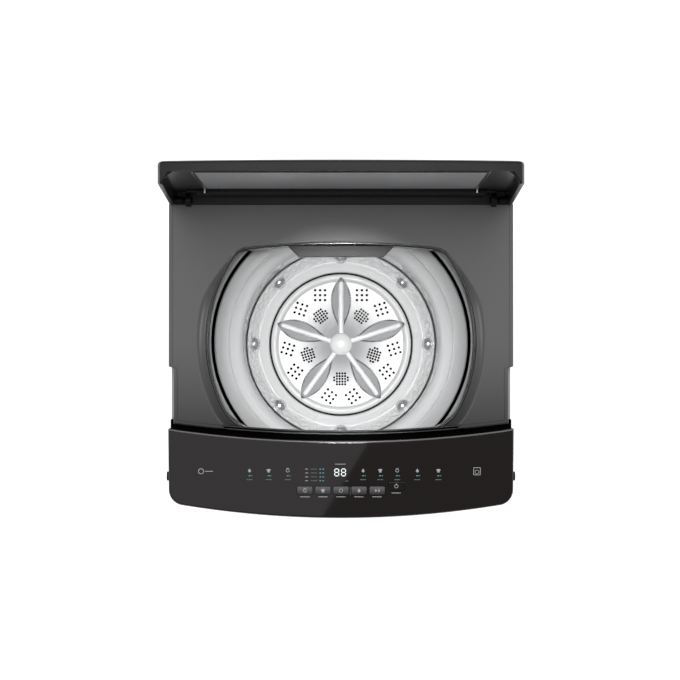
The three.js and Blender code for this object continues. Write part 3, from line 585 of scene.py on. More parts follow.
@dataclass
class Opening:
    """The mouth over the drum: bowed sides, an arched rear edge and a straight front edge."""

    half_width: float = 204.0
    side_radius: float = 222.0
    rear_middle: float = 148.0
    rear_corner: float = 139.0
    front: float = -138.0
    corner: float = 7.0
    front_radius: float = 70.0

    def outline(self, grow: float = 0.0) -> list[Point]:
        """The outline, grown outwards.

        Args:
            grow: how far out, in millimetres.

        Returns:
            Points anticlockwise from the right-hand front corner.
        """
        centre = self.half_width - self.side_radius
        radius = self.side_radius + grow
        high = math.degrees(math.asin((self.rear_corner + grow) / radius))
        ease = math.degrees(self.corner / radius)
        bend = self.front_radius + grow
        level = self.front + self.front_radius
        low = math.degrees(math.asin(level / (self.side_radius - self.front_radius)))
        bend_x = centre + (self.side_radius - self.front_radius) * math.cos(math.radians(low))
        right = [*arc((bend_x, level), bend, -88, low - 2, 12),
                 *arc((centre, 0.0), radius, low, high - ease, 40)]
        corner_x = centre + radius * math.cos(math.radians(high))
        reach = corner_x - self.corner
        rear = [(reach * (1 - i / 12),
                 arched(reach * (1 - i / 12), corner_x, self.rear_corner, self.rear_middle) + grow)
                for i in range(25)]
        left = [(-x, y) for x, y in reversed(right)]
        front = [(bend_x * (i / 12 - 1), self.front - grow) for i in range(25)]
        return right + rear + left + front


# ------------------------------------------------------------------------------------------ top cover
@dataclass
class TopCover(Assembly):
    """The dark deck: flat top, sloping dish, collar, outer walls, finger notches and console tray."""

    lid_clearance: float = 2.5
    front_side: float = -125.0
    front_middle: float = -143.0
    notch_rear: float = -40.0
    notch_depth: float = 7.6
    dish_width: float = 17.0
    dish_depth: float = 12.0
    edge: float = 2.5
    corner: float = 10.0
    collar_bottom: float = 847.0
    steps: int = 320

    def __post_init__(self) -> None:
        """Read the deck's limits from the frame."""
        low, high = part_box("top_cover")
        self.half = high.x / MM
        self.rear = high.y / MM
        self.skirt = low.z / MM + 6
        self.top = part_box("lid_frame")[0].z / MM - self.lid_clearance
        self.opening = Opening()

    def outer(self, inset: float) -> list[Point]:
        """The deck's outer outline, moved inwards by `inset` millimetres."""
        half, rear = self.half - inset, self.rear - inset
        narrow = half - self.notch_depth
        radius = max(self.corner - inset, 1.0)
        front = [(narrow * (i / 16 - 1),
                  arched(narrow * (i / 16 - 1), self.half, self.front_side, self.front_middle) + inset)
                 for i in range(33)]
        right = [(narrow, self.notch_rear - 3), (narrow + 1, self.notch_rear - 1),
                 (half, self.notch_rear + 1)]
        corner = arc((half - radius, rear - radius), radius, 0, 90, 6)
        points = front + right + corner
        return points + [(-x, y) for x, y in reversed(right + corner)]

    def angles(self) -> list[float]:
        """Ray angles: evenly spaced, with the outline's own corners added."""
        even = [2 * math.pi * i / self.steps - math.pi for i in range(self.steps)]
        corners = [math.atan2(y, x) for x, y in self.outer(0.0) if x * x > (self.half - 12) ** 2]
        return sorted(set(round(a, 6) for a in even + corners))

    def deck(self) -> Mesh:
        """Loft the deck from the collar's foot over the dish and the flat, and down the outer wall."""
        angles = self.angles()

        def inner(grow: float, z: float) -> list:
            return [(x, y, z) for x, y in ray_hits(self.opening.outline(grow), angles)]

        def outer(inset: float, z: float) -> list:
            return [(x, y, z) for x, y in ray_hits(self.outer(inset), angles)]

        top, width, depth, edge = self.top, self.dish_width, self.dish_depth, self.edge
        rings = [inner(0.0, self.collar_bottom), inner(0.0, top - depth - 3), inner(0.5, top - depth - 1),
                 inner(1.8, top - depth + 0.4)]
        full, slim = inner(width, top), inner(3.6, top)
        start = inner(1.8, top)
        for i in range(1, 13):
            share = i / 12
            ease = math.sin(share * math.pi / 2) ** 1.25
            ring = []
            for a, near, wide, thin in zip(angles, start, full, slim):
                narrow = self.narrowing(a)
                far = [w + (t - w) * narrow for w, t in zip(wide, thin)]
                ring.append((near[0] + (far[0] - near[0]) * share, near[1] + (far[1] - near[1]) * share,
                             top - depth * (1 - ease)))
            rings.append(ring)
        flat = [[(x * 1.003, y * 1.003, z) for x, y, z in rings[-1]]]
        groove = [outer(7.2, top), outer(6.6, top), outer(6.3, top - 0.9), outer(5.5, top - 0.9),
                  outer(5.2, top)]
        rings += flat + groove + [outer(edge + 0.6, top)]
        rings += [outer(edge, top), outer(edge * 0.62, top - edge * 0.08),
                  outer(edge * 0.29, top - edge * 0.29),
                  outer(edge * 0.08, top - edge * 0.62), outer(0.0, top - edge), outer(0.0, self.skirt),
                  outer(1.4, self.skirt), outer(3.0, top - 30), outer(4.0, top - 4),
                  inner(width + 2.5, top - 4),
                  inner(4.0, top - depth - 5), inner(3.0, self.collar_bottom)]
        return lofted([self.limited(ring) for ring in rings], ends=False)

    @staticmethod
    def narrowing(angle: float) -> float:
        """How far the dish has closed up at an angle: 0 at the sides and 1 along the rear edge."""
        share = min(max((math.sin(angle) - 0.22) / 0.44, 0.0), 1.0)
        return share * share * (3 - 2 * share)

    def collar(self) -> Mesh:
        """The polished black collar that lines the mouth, with a fine rolled rim."""
        angles = self.angles()
        z = self.top - self.dish_depth

        def ring(grow: float, height: float) -> list:
            return self.limited([(x, y, height) for x, y in ray_hits(self.opening.outline(grow), angles)])

        bead = arc((1.5, z - 0.4), 2.1, 180, 0, 10)
        profile = [(-0.6, self.collar_bottom - 0.6), (-0.6, z - 2.0), *bead, (3.6, z - 2.4), (1.2, z - 4.0),
                   (1.0, self.collar_bottom - 0.6)]
        return lofted([ring(*step) for step in profile], ends=False)

    def limited(self, ring: list) -> list:
        """Keep a ring of the dish inside the deck's front edge.

        Args:
            ring: places in millimetres.

        Returns:
            The same ring, held back at the front.
        """
        held = []
        for x, y, z in ring:
            front = arched(x, self.half, self.front_side, self.front_middle) + 1.2
            held.append((x, max(y, front) if y < 0 and abs(x) < 190 else y, z))
        return held

    def gutter(self) -> Mesh:
        """The step between the deck's front edge and the console, and the tray under the console, in
        near-black painted shade.
        """
        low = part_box("console_trim")[0]
        half = self.half - 2.2
        steps = range(33)
        back = [(half * (1 - i / 16),
                 arched(half * (1 - i / 16), self.half, self.front_side, self.front_middle) + 6)
                for i in steps]
        front = [(half * (i / 16 - 1),
                  arched(half * (i / 16 - 1), self.half, low.y / MM, low.y / MM - 22) - 20)
                 for i in steps]
        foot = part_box("control_housing")[0].z / MM - 6
        return prism(front + back, foot, self.top - self.dish_depth, 0.6, 1)

    def lug(self, side: int) -> Mesh:
        """The upright ear that holds a hinge pin."""
        pin_low, pin_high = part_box("hinge_pin_right")
        y, z = (pin_low.y + pin_high.y) / 2 / MM, (pin_low.z + pin_high.z) / 2 / MM
        outline = arc((y, z), 10.0, 0, 180, 20) + [(y - 10, self.top - 1), (y + 10, self.top - 1)]
        bm = prism(outline, 228.0 if side > 0 else -236.0, 236.0 if side > 0 else -228.0, 0.8)
        turn = Matrix(((0, 0, 1, 0), (1, 0, 0, 0), (0, 1, 0, 0), (0, 0, 0, 1)))
        return moved(bm, turn)

    def build(self) -> None:
        """Make the deck, the gutter and the lugs."""
        # The deck's colour fade is painted shade, darker towards the front.
        self.piece("top_cover_deck", self.deck(), DECK_ABS_PAINTED_SHADE, "dark_plastic", ["top_cover"])
        self.piece("mouth_collar", self.collar(), BLACK_GLOSS, "black_plastic")
        # The gutter takes the painted shade finish.
        self.piece("console_gutter", self.gutter(), HOLLOW_SHADE, "black_plastic")
        self.piece("hinge_lugs", merged([self.lug(-1), self.lug(1)]), LID_ABS, "dark_plastic")


# ------------------------------------------------------------------------------------------ control console
@dataclass
class Console(Assembly):
    """The sloping control console: housing, glossy face, trim, printed icons, lamps, digits and keys."""

    rear_side: float = -133.0
    rear_middle: float = -152.0
    corner: float = 24.0
    face_sheet: float = 3.0
    key_width: float = 23.0
    key_depth: float = 12.4
    key_proud: float = 1.0
    lamp_rows: tuple = ((-138.5, -109.6, -80.7), (33.5, 59.4, 85.2, 115.7, 147.6))

    def __post_init__(self) -> None:
        """Read the console's limits and slope from the frame."""
        low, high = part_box("control_housing")
        self.half = high.x / MM
        self.bottom = low.z / MM
        self.front_middle = low.y / MM
        press = next(j for j in frame["joints"] if j["name"] == "delay_key_press")["axis"]
        self.slope = math.asin(press[1])
        self.top_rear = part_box("console_trim")[1].z / MM
        self.face_front = self.top_rear - (self.rear_side - self.front_middle) * math.tan(self.slope)

    def outline(self, inset: float) -> list[Point]:
        """The console's outline from above, moved inwards by `inset` millimetres."""
        half, radius = self.half - inset, self.corner - inset
        side_y = self.front_middle + 19.4
        turn = arc((half - radius, side_y + inset + radius), radius, -76, 0, 10)
        reach = turn[0][0]
        front = [(reach * (i / 16 - 1),
                  arched(reach * (i / 16 - 1), reach, turn[0][1], self.front_middle + inset))
                 for i in range(33)]
        rear = [(half * (1 - i / 16),
                 arched(half * (1 - i / 16), self.half, self.rear_side, self.rear_middle) - inset)
                for i in range(33)]
        return front[:-1] + turn + rear + [(-x, y) for x, y in reversed(turn)][:-1]

    def height(self, y: float) -> float:
        """The face's height at a depth y."""
        return self.face_front + (y - self.front_middle) * math.tan(self.slope)

    def ring(self, inset: float, drop: float) -> list:
        """The outline laid on the face, lowered by `drop` millimetres."""
        return [(x, y, self.height(y) - drop) for x, y in self.outline(inset)]

    def on_face(self, x: float, y: float, lift: float = 0.0) -> Matrix:
        """The matrix that lays a flat drawing on the face at x, y."""
        place = Matrix.Translation(Vector((x, y, self.height(y) + lift)) * MM)
        return place @ Matrix.Rotation(self.slope, 4, "X")

    def flat(self, outline: Sequence[Point], x: float, y: float, thick: float = 0.06) -> Mesh:
        """A printed shape laid on the face.

        Args:
            outline: the shape's points round its own centre, in millimetres.
            x: its centre across.
            y: its centre in depth.
            thick: how thick the ink is.

        Returns:
            The shape's mesh.
        """
        return moved(prism(outline, 0.02, 0.02 + thick), self.on_face(x, y))

    def dash(self, x: float, y: float, width: float, depth: float) -> Mesh:
        """A printed bar."""
        w, d = width / 2, depth / 2
        return self.flat([(-w, -d), (w, -d), (w, d), (-w, d)], x, y)

    def frame_print(self, x: float, y: float, width: float, depth: float, line: float) -> list:
        """A printed rectangle drawn as four bars."""
        return [self.dash(x, y - depth / 2, width, line), self.dash(x, y + depth / 2, width, line),
                self.dash(x - width / 2, y, line, depth), self.dash(x + width / 2, y, line, depth)]

    def face(self) -> Mesh:
        """The acrylic sheet with a rounded rim."""
        edge = 2.2
        rings = [self.ring(1.4, self.face_sheet), self.ring(0.7, self.face_sheet - 0.2), self.ring(0.6, edge)]
        for i in range(1, 6):
            angle = math.pi / 2 * i / 5
            rings.append(self.ring(0.6 + edge * (1 - math.cos(angle)), edge * (1 - math.sin(angle))))
        rings.append(self.ring(1.1 + edge, 0.0))
        return lofted(rings)

    def housing(self) -> Mesh:
        """The black console body under the face."""
        foot = [(x, y, self.bottom) for x, y in self.outline(1.5)]
        foot_edge = [(x, y, self.bottom + 1.5) for x, y in self.outline(0.0)]
        rings = [foot, foot_edge, self.ring(0.0, self.face_sheet + 1.2),
                 self.ring(0.5, self.face_sheet + 0.4)]
        return lofted(rings)

    def trim(self) -> Mesh:
        """The silver strip along the rear edge of the face."""
        half = self.half - 1.0
        xs = [half * (i / 20 - 1) for i in range(41)]
        rings = []
        for x in xs:
            y = arched(x, self.half, self.rear_side, self.rear_middle)
            z = self.height(y)
            rings.append([(x, y - 0.2, z - 3.0), (x, y - 0.2, z - 0.3), (x, y - 0.6, z + 0.0),
                          (x, y - 1.6, z + 0.0), (x, y - 2.0, z - 0.3), (x, y - 2.0, z - 3.0)])
        return lofted(rings)

    def key(self, node: str) -> tuple:
        """A key cap with rounded edges and the flat ring of painted shade for the well that it sits in.

        Args:
            node: the key's node.

        Returns:
            The cap's mesh, the mesh of the well's painted shade, and the key's centre.
        """
        low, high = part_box(node)
        x, y = (low.x + high.x) / 2 / MM, (low.y + high.y) / 2 / MM
        y += 0.4
        outline = rounded(self.key_width / 2, self.key_depth / 2, 1.6)
        cap = moved(prism(outline, -6.0, self.key_proud, 0.5, 3), self.on_face(x, y))
        well = moved(prism(rounded(self.key_width / 2 + 0.7, self.key_depth / 2 + 0.7, 2.2), 0.01, 0.08),
                     self.on_face(x, y))
        return cap, well, (x, y)

    def print_parts(self, centres: dict[str, Point]) -> tuple[list, list, list, list]:
        """Draw the icons, faint lines, lamps and digits.

        Args:
            centres: each key's centre.

        Returns:
            Lists of white, grey, lamp and digit meshes.
        """
        white, grey, lamps, digits = [], [], [], []
        icons: list[Callable[[float, float], list]] = [self.drop_icon, self.shirt_icon, self.swirl_icon]
        for row in self.lamp_rows:
            for i, x in enumerate(row):
                white += icons[i % 3](x, -196.5)
                lamps.append(self.dash(x, -204.3, 3.2, 1.4))
                lamps.append(self.dash(x + 3.4, -204.3, 1.2, 1.4))
                grey.append(self.dash(x, -210.3, 9.0, 0.9))
        for row in range(4):
            y = -194.2 - row * 5.9
            white.append(self.dash(-52.0, y, 4.5, 1.0))
            grey.append(self.dash(-41.0, y, 10.0, 0.7))
            lamps.append(self.flat(polygon(1.1, (0, 0), 12), -31.5, y))
            lamps.append(self.dash(-27.0, y, 3.0, 1.3))
        digits += self.digit(-6.4) + self.digit(3.8)
        white.append(self.dash(-1.0, -186.6, 16.0, 0.9))
        grey.append(self.dash(8.5, -212.4, 5.0, 0.9))
        for name, (x, y) in centres.items():
            offset = -9.6 if name != "power_key" else -10.4
            white.append(self.dash(x, y + offset, 14.0, 1.0))
        grey.append(self.dash(14.0, -227.7, 0.5, 13.0))
        power_x, power_y = centres["power_key"]
        white += self.frame_print(power_x, power_y, 22.4, 12.0, 0.6)
        white += self.ring_icon(-212.0, -197.5, 4.4, 1.0) + [self.dash(-200.0, -197.5, 12.0, 1.0)]
        white += self.frame_print(206.0, -197.5, 10.0, 11.0, 0.9) + self.ring_icon(206.0, -198.5, 3.2, 0.7)
        return white, grey, lamps, digits

    def ring_icon(self, x: float, y: float, radius: float, line: float) -> list:
        """A printed ring."""
        outer, inner = polygon(radius, (0, 0), 24), polygon(radius - line, (0, 0), 24)
        rings = [[(px, py, h) for px, py in side]
                 for side, h in ((outer, 0.02), (outer, 0.08), (inner, 0.08), (inner, 0.02))]
        return [moved(lofted(rings, ends=False), self.on_face(x, y))]

    def drop_icon(self, x: float, y: float) -> list:
        """A small water drop."""
        outline = [(0.0, 3.2)] + arc((0.0, -0.6), 2.1, 30, -210, 12)
        return [self.flat(list(reversed(outline)), x, y)]

    def shirt_icon(self, x: float, y: float) -> list:
        """A small shirt."""
        right = [(1.0, 2.6), (3.4, 1.4), (2.6, -0.2), (1.8, 0.2), (1.8, -2.8)]
        return [self.flat([(-px, py) for px, py in right] + list(reversed(right)), x, y)]

    def swirl_icon(self, x: float, y: float) -> list:
        """A small basket with a bar over it."""
        return self.ring_icon(x, y, 2.7, 0.8) + [self.dash(x, y + 3.4, 4.2, 0.7)]

    def digit(self, x: float) -> list:
        """A seven-segment eight."""
        y, wide, tall, line = -199.2, 6.0, 10.6, 1.2
        bars = [self.dash(x, y + side * tall / 2, wide - 1.4, line) for side in (-1, 0, 1)]
        ups = [self.dash(x + sx * wide / 2, y + sy * tall / 4, line, tall / 2 - 1.4) for sx in (-1, 1)
               for sy in (-1, 1)]
        return bars + ups

    def key_icon(self, name: str, x: float, y: float) -> list:
        """The dark mark printed on a key."""
        marks = {"level_key": self.swirl_icon, "process_key": self.shirt_icon,
                 "delay_key": lambda a, b: self.ring_icon(a, b, 3, 0.8),
                 "program_key": self.drop_icon, "start_key": self.play_icon, "power_key": self.power_icon}
        return [moved(m, Matrix.Translation((0, 0, self.key_proud * MM))) for m in marks[name](x, y)]

    def play_icon(self, x: float, y: float) -> list:
        """A triangle and two bars."""
        return [self.flat([(-3.2, -2.4), (0.4, 0.0), (-3.2, 2.4)], x, y), self.dash(x + 1.8, y, 0.9, 4.8),
                self.dash(x + 3.6, y, 0.9, 4.8)]

    def power_icon(self, x: float, y: float) -> list:
        """A ring with an upright bar."""
        return self.ring_icon(x, y, 3.0, 0.8) + [self.dash(x, y + 2.8, 0.9, 3.2)]

    def build(self) -> None:
        """Make the console's pieces."""
        self.piece("console_housing", self.housing(), BLACK_PP, "black_plastic", ["control_housing"])
        self.piece("console_face", self.face(), CONSOLE_ACRYLIC, "console_gloss", ["control_face"])
        self.piece("console_rear_trim", self.trim(), TRIM_SILVER, "light_trim", ["console_trim"])
        nodes = [name for name in frame["nodes"] if name.endswith("_key")]
        centres, well_shades = {}, []
        for name in nodes:
            cap, well, centres[name] = self.key(name)
            finish = CONSOLE_ACRYLIC if name == "power_key" else KEY_GRADE
            self.piece(f"{name}_cap", cap, finish, "key_grey", [name], name)
            well_shades.append(well)
            self.piece(f"{name}_mark", merged(self.key_icon(name, *centres[name])), INK, "key_grey",
                       body=name)
        # A thin near-black ring round each key: painted shade in the gap round the cap.
        self.piece("key_well_shades", merged(well_shades), HOLLOW_SHADE, "black_plastic")
        white, grey, lamps, digits = self.print_parts(centres)
        self.piece("console_icons", merged(white), INK, "light_trim")
        self.piece("console_fine_lines", merged(grey), GREY_INK, "light_trim")
        self.piece("indicator_lamps", merged(lamps), LAMP, "light_trim")
        self.piece("display_digits", merged(digits), DIGIT, "light_trim")
        self.dress(BLACK_PP, "display_module")
        self.dress(BOARD, "control_board")


def rounded(half_x: float, half_y: float, radius: float, steps: int = 6) -> list[Point]:
    """A rounded rectangle round the origin, in millimetres."""
    points: list[Point] = []
    for sx, sy, start in ((1, -1, -90), (1, 1, 0), (-1, 1, 90), (-1, -1, 180)):
        centre = (sx * (half_x - radius), sy * (half_y - radius))
        points += arc(centre, radius, start, start + 90, steps)
    return points


# ------------------------------------------------------------------------------------------ lid
@dataclass
class Lid(Assembly):
    """The upright lid: dished frame with side skirts, window glass, glass clips, hinge rail and pins."""

    body: str = "lid"
    skirt: float = 6.0
    plate: float = 226.0
    front_edge: float = 225.0
    side_top: float = 1253.0
    half_top: float = 247.0
    round_edge: float = 5.0
    corner_drop: float = 34.0
    ease_up: float = 30.0
    corner_half: float = 241.0
    ease_in: float = 9.0
    rail_face: float = 218.6
    rail_top: float = 958.0
    rail_half: float = 217.0

    def __post_init__(self) -> None:
        """Read the lid's limits from the frame."""
        low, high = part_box("lid_frame")
        self.half_bottom = high.x / MM
        self.inner, self.outer = low.y / MM, high.y / MM
        self.bottom, self.middle_top = low.z / MM + 0.5, high.z / MM
        glass_low, glass_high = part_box("lid_glass")
        self.glass_half = glass_high.x / MM
        self.glass_y = (glass_low.y / MM, glass_high.y / MM)
        self.glass_z = (glass_low.z / MM, glass_high.z / MM)

    def outline(self, inset: float) -> list[Point]:
        """The lid's outline in X and Z, moved inwards, with rounded top corners."""
        top_half, foot_half = self.half_top - inset, self.half_bottom - inset
        radius = 1.6
        crown = [(top_half - radius) * (1 - i / 16) for i in range(33)]
        top = [(x, arched(x, self.half_top, self.side_top, self.middle_top) - inset) for x in crown]
        corner = arc((top_half - radius, top[0][1] - radius), radius, 4, 86, 6)
        side = [(foot_half + (top_half - foot_half) * i / 12,
                 self.bottom + inset * 0.2 + (top[0][1] - radius - self.bottom) * i / 12)
                for i in range(13)]
        foot = [(foot_half * (i / 12 - 1), self.bottom + inset * 0.2) for i in range(1, 24)]
        left = [(-x, z) for x, z in reversed(side + corner)]
        return side + corner + top + left + foot

    def depth(self, x: float, z: float) -> float:
        """How far forward the skirt reaches at a point of the outline."""
        rise = min(max((z - (self.side_top - self.corner_drop)) / self.ease_up, 0.0), 1.0)
        middle = min(max((self.corner_half - abs(x)) / self.ease_in, 0.0), 1.0)
        reach = self.front_edge - self.inner
        return self.inner + reach * rise * rise * (3 - 2 * rise) * middle * middle * (3 - 2 * middle)

    def shell(self) -> Mesh:
        """Loft the lid from the window's outer edge round the rim and the skirt to its inner edge."""
        r = self.round_edge
        outer = [(self.outline(0.0), 0.0), (self.outline(r * 0.3), 0.7), (self.outline(r), 1.0)]
        half, (low, high) = self.glass_half - 9, self.glass_z
        hole = rounded(half, (high - low) / 2 - 9, 10.0)
        centre = (low + high) / 2
        hole = [(x, z + centre) for x, z in hole]
        angles = [2 * math.pi * i / 256 - math.pi for i in range(256)]

        def at(points: list[Point], y: float | None) -> list:
            shifted = [(x, z - centre) for x, z in points]
            hits = [(x, z + centre) for x, z in ray_hits(shifted, angles)]
            return [(x, self.depth(x, z) if y is None else y, z) for x, z in hits]

        seat = [(x, z + centre) for x, z in rounded(self.glass_half + 0.3, (high - low) / 2 + 0.3, 4.0)]
        rings = [at(hole, self.glass_y[1] + 0.5), at(hole, self.outer - 1.5),
                 at([(x * 1.004, (z - centre) * 1.006 + centre) for x, z in hole], self.outer)]
        rings += [at(points, self.outer - r * (1 - s)) for points, s in reversed(outer)]
        rings += [at(self.outline(0.0), None), at(self.outline(1.5), None),
                  at(self.outline(self.skirt), None)]
        rings += [at(self.outline(self.skirt + 1.0), self.plate - 1.0),
                  at(self.outline(self.skirt + 2.5), self.plate),
                  at(seat, self.plate), at(seat, self.glass_y[1] + 0.5)]
        for i in (6, 7, 8):
            shift = {6: 0.0, 7: -0.8, 8: 0.0}[i]
            rings[i] = [(x, y + shift, z) for x, y, z in rings[i]]
        return lofted(rings, ends=False)

    def glass(self) -> Mesh:
        """The window pane with ground edges."""
        low, high = self.glass_z
        outline = rounded(self.glass_half, (high - low) / 2, 3.5)
        bm = prism(outline, self.glass_y[0], self.glass_y[1], 0.7, 2)
        return moved(bm, self.stand((low + high) / 2))

    @staticmethod
    def stand(centre_z: float) -> Matrix:
        """The matrix that stands a flat drawing upright, with its depth along Y."""
        turn = Matrix(((1, 0, 0, 0), (0, 0, 1, 0), (0, 1, 0, 0), (0, 0, 0, 1)))
        return Matrix.Translation((0, 0, centre_z * MM)) @ turn

    def rail(self) -> Mesh:
        """The stiffening rail along the hinge edge, with its ledge."""
        z = (922.0, self.rail_top)
        return merged([box((-self.rail_half, self.rail_half), (self.rail_face, self.plate - 0.1), z, 1.2, 3),
                       box((-self.rail_half - 14, self.rail_half + 14),
                           (self.rail_face + 4, self.plate - 0.1), (z[0] + 4, z[1] - 4), 1.0, 2)])

    def glass_frame(self) -> Mesh:
        """The raised bead round the pane, on the inner side."""
        low, high = self.glass_z
        tall = (high - low) / 2
        sizes = ((0.0, 0.0), (0.0, -1.0), (2.2, -1.4), (3.4, -0.6), (3.6, 0.0))
        rings = []
        for grow, rise in sizes:
            ring = rounded(self.glass_half - 3 + grow, tall - 3 + grow, 4.0)
            rings.append([(x, self.plate + rise, z + (low + high) / 2) for x, z in ring])
        return lofted(rings, ends=False)

    def clips(self) -> Mesh:
        """Two bright clips that hold the pane's lower corners."""
        low = self.glass_z[0]
        parts = [box((side * (self.glass_half - 1) - 1.6, side * (self.glass_half - 1) + 1.6),
                     (self.plate - 8.0, self.plate - 0.2), (low + 4, low + 20), 0.8, 2) for side in (-1, 1)]
        return merged(parts)

    def knuckle(self, side: int) -> Mesh:
        """The bored hinge knuckle at one lower corner."""
        pin_low, pin_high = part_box("hinge_pin_right")
        y, z = (pin_low.y + pin_high.y) / 2 / MM, (pin_low.z + pin_high.z) / 2 / MM
        profile = [(4.4, 240.0), (5.0, 240.0), (5.5, 240.6), (5.5, 256.4), (5.0, 257.0), (4.4, 257.0)]
        bm = turned(profile, 32)
        turn = Matrix(((0, 0, 1, 0), (1, 0, 0, y * MM), (0, 1, 0, z * MM), (0, 0, 0, 1)))
        flip = Matrix.Diagonal((side, 1, 1, 1))
        return clean(moved(bm, flip @ turn))

    def pin(self, side: int) -> Mesh:
        """A hinge pin with chamfered ends."""
        low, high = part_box("hinge_pin_right")
        radius = (high.z - low.z) / 2 / MM
        a, b = low.x / MM, high.x / MM
        profile = [(0, a), (radius - 0.8, a), (radius, a + 0.8), (radius, b - 0.8), (radius - 0.8, b), (0, b)]
        turn = Matrix(((0, 0, 1, 0), (1, 0, 0, (low.y + high.y) / 2), (0, 1, 0, (low.z + high.z) / 2),
                       (0, 0, 0, 1)))
        return clean(moved(turned(profile, 24), Matrix.Diagonal((side, 1, 1, 1)) @ turn))

    def build(self) -> None:
        """Make the lid's pieces."""
        self.piece("lid_shell", self.shell(), LID_ABS, "dark_plastic", ["lid_frame"])
        # The pane's pale colour carries painted reflection.
        self.piece("lid_window", self.glass(), GLASS_PAINTED_REFLECTION, "tinted_glass", ["lid_glass"])
        self.piece("lid_glass_bead", self.glass_frame(), LID_ABS, "black_plastic")
        self.piece("lid_hinge_rail", self.rail(), LID_ABS, "dark_plastic")
        self.piece("lid_glass_clips", self.clips(), CLIP_STEEL, "light_trim")
        self.piece("lid_knuckles", merged([self.knuckle(-1), self.knuckle(1)]), BLACK_PP, "dark_plastic")
        for side, name in ((-1, "left"), (1, "right")):
            self.piece(f"hinge_pin_{name}_turned", self.pin(side), BLACK_STEEL, "zinc_steel",
                       [f"hinge_pin_{name}"], "cabinet")


# ------------------------------------------------------------------------------------------ detergent drawer
@dataclass
class Drawer(Assembly):
    """The detergent drawer: a grey nose with chamfered sides over a two-cup tray."""

    body: str = "drawer"
    nose_depth: float = 17.0
    nose_front_half: float = 65.0
    tray_half: float = 76.0
    wall: float = 2.0
    divider_x: float = 21.0

    def build(self) -> None:
        """Make the nose and the tray."""
        low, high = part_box("detergent_drawer")
        half, front, rear = high.x / MM, low.y / MM, high.y / MM
        bottom, top = low.z / MM, high.z / MM
        nose = [(-self.nose_front_half, front), (self.nose_front_half, front),
                (half, front + self.nose_depth), (-half, front + self.nose_depth)]
        body = prism(nose, bottom + 18, top, 0.9, 3)
        lip = prism([(x, y + 6 if y == front else y) for x, y in nose], bottom, bottom + 19, 1.0, 2)
        self.piece("drawer_nose", merged([body, lip]), NOSE_ABS, "dark_plastic", ["detergent_drawer"])
        self.piece("drawer_tray", self.tray(front + self.nose_depth, rear, bottom, top - 6), WHITE_PP,
                   "tub_plastic")

    def tray(self, front: float, rear: float, bottom: float, top: float) -> Mesh:
        """The tray's floor, walls and divider."""
        half, wall = self.tray_half, self.wall
        walls = [((-half, half), (front, rear), (bottom, bottom + wall)),
                 ((-half, -half + wall), (front, rear), (bottom, top)),
                 ((half - wall, half), (front, rear), (bottom, top)),
                 ((-half, half), (rear - wall, rear), (bottom, top)),
                 ((self.divider_x - 1, self.divider_x + 1), (front, rear), (bottom, top))]
        return merged([box(x, y, z, 0.5, 2) for x, y, z in walls])


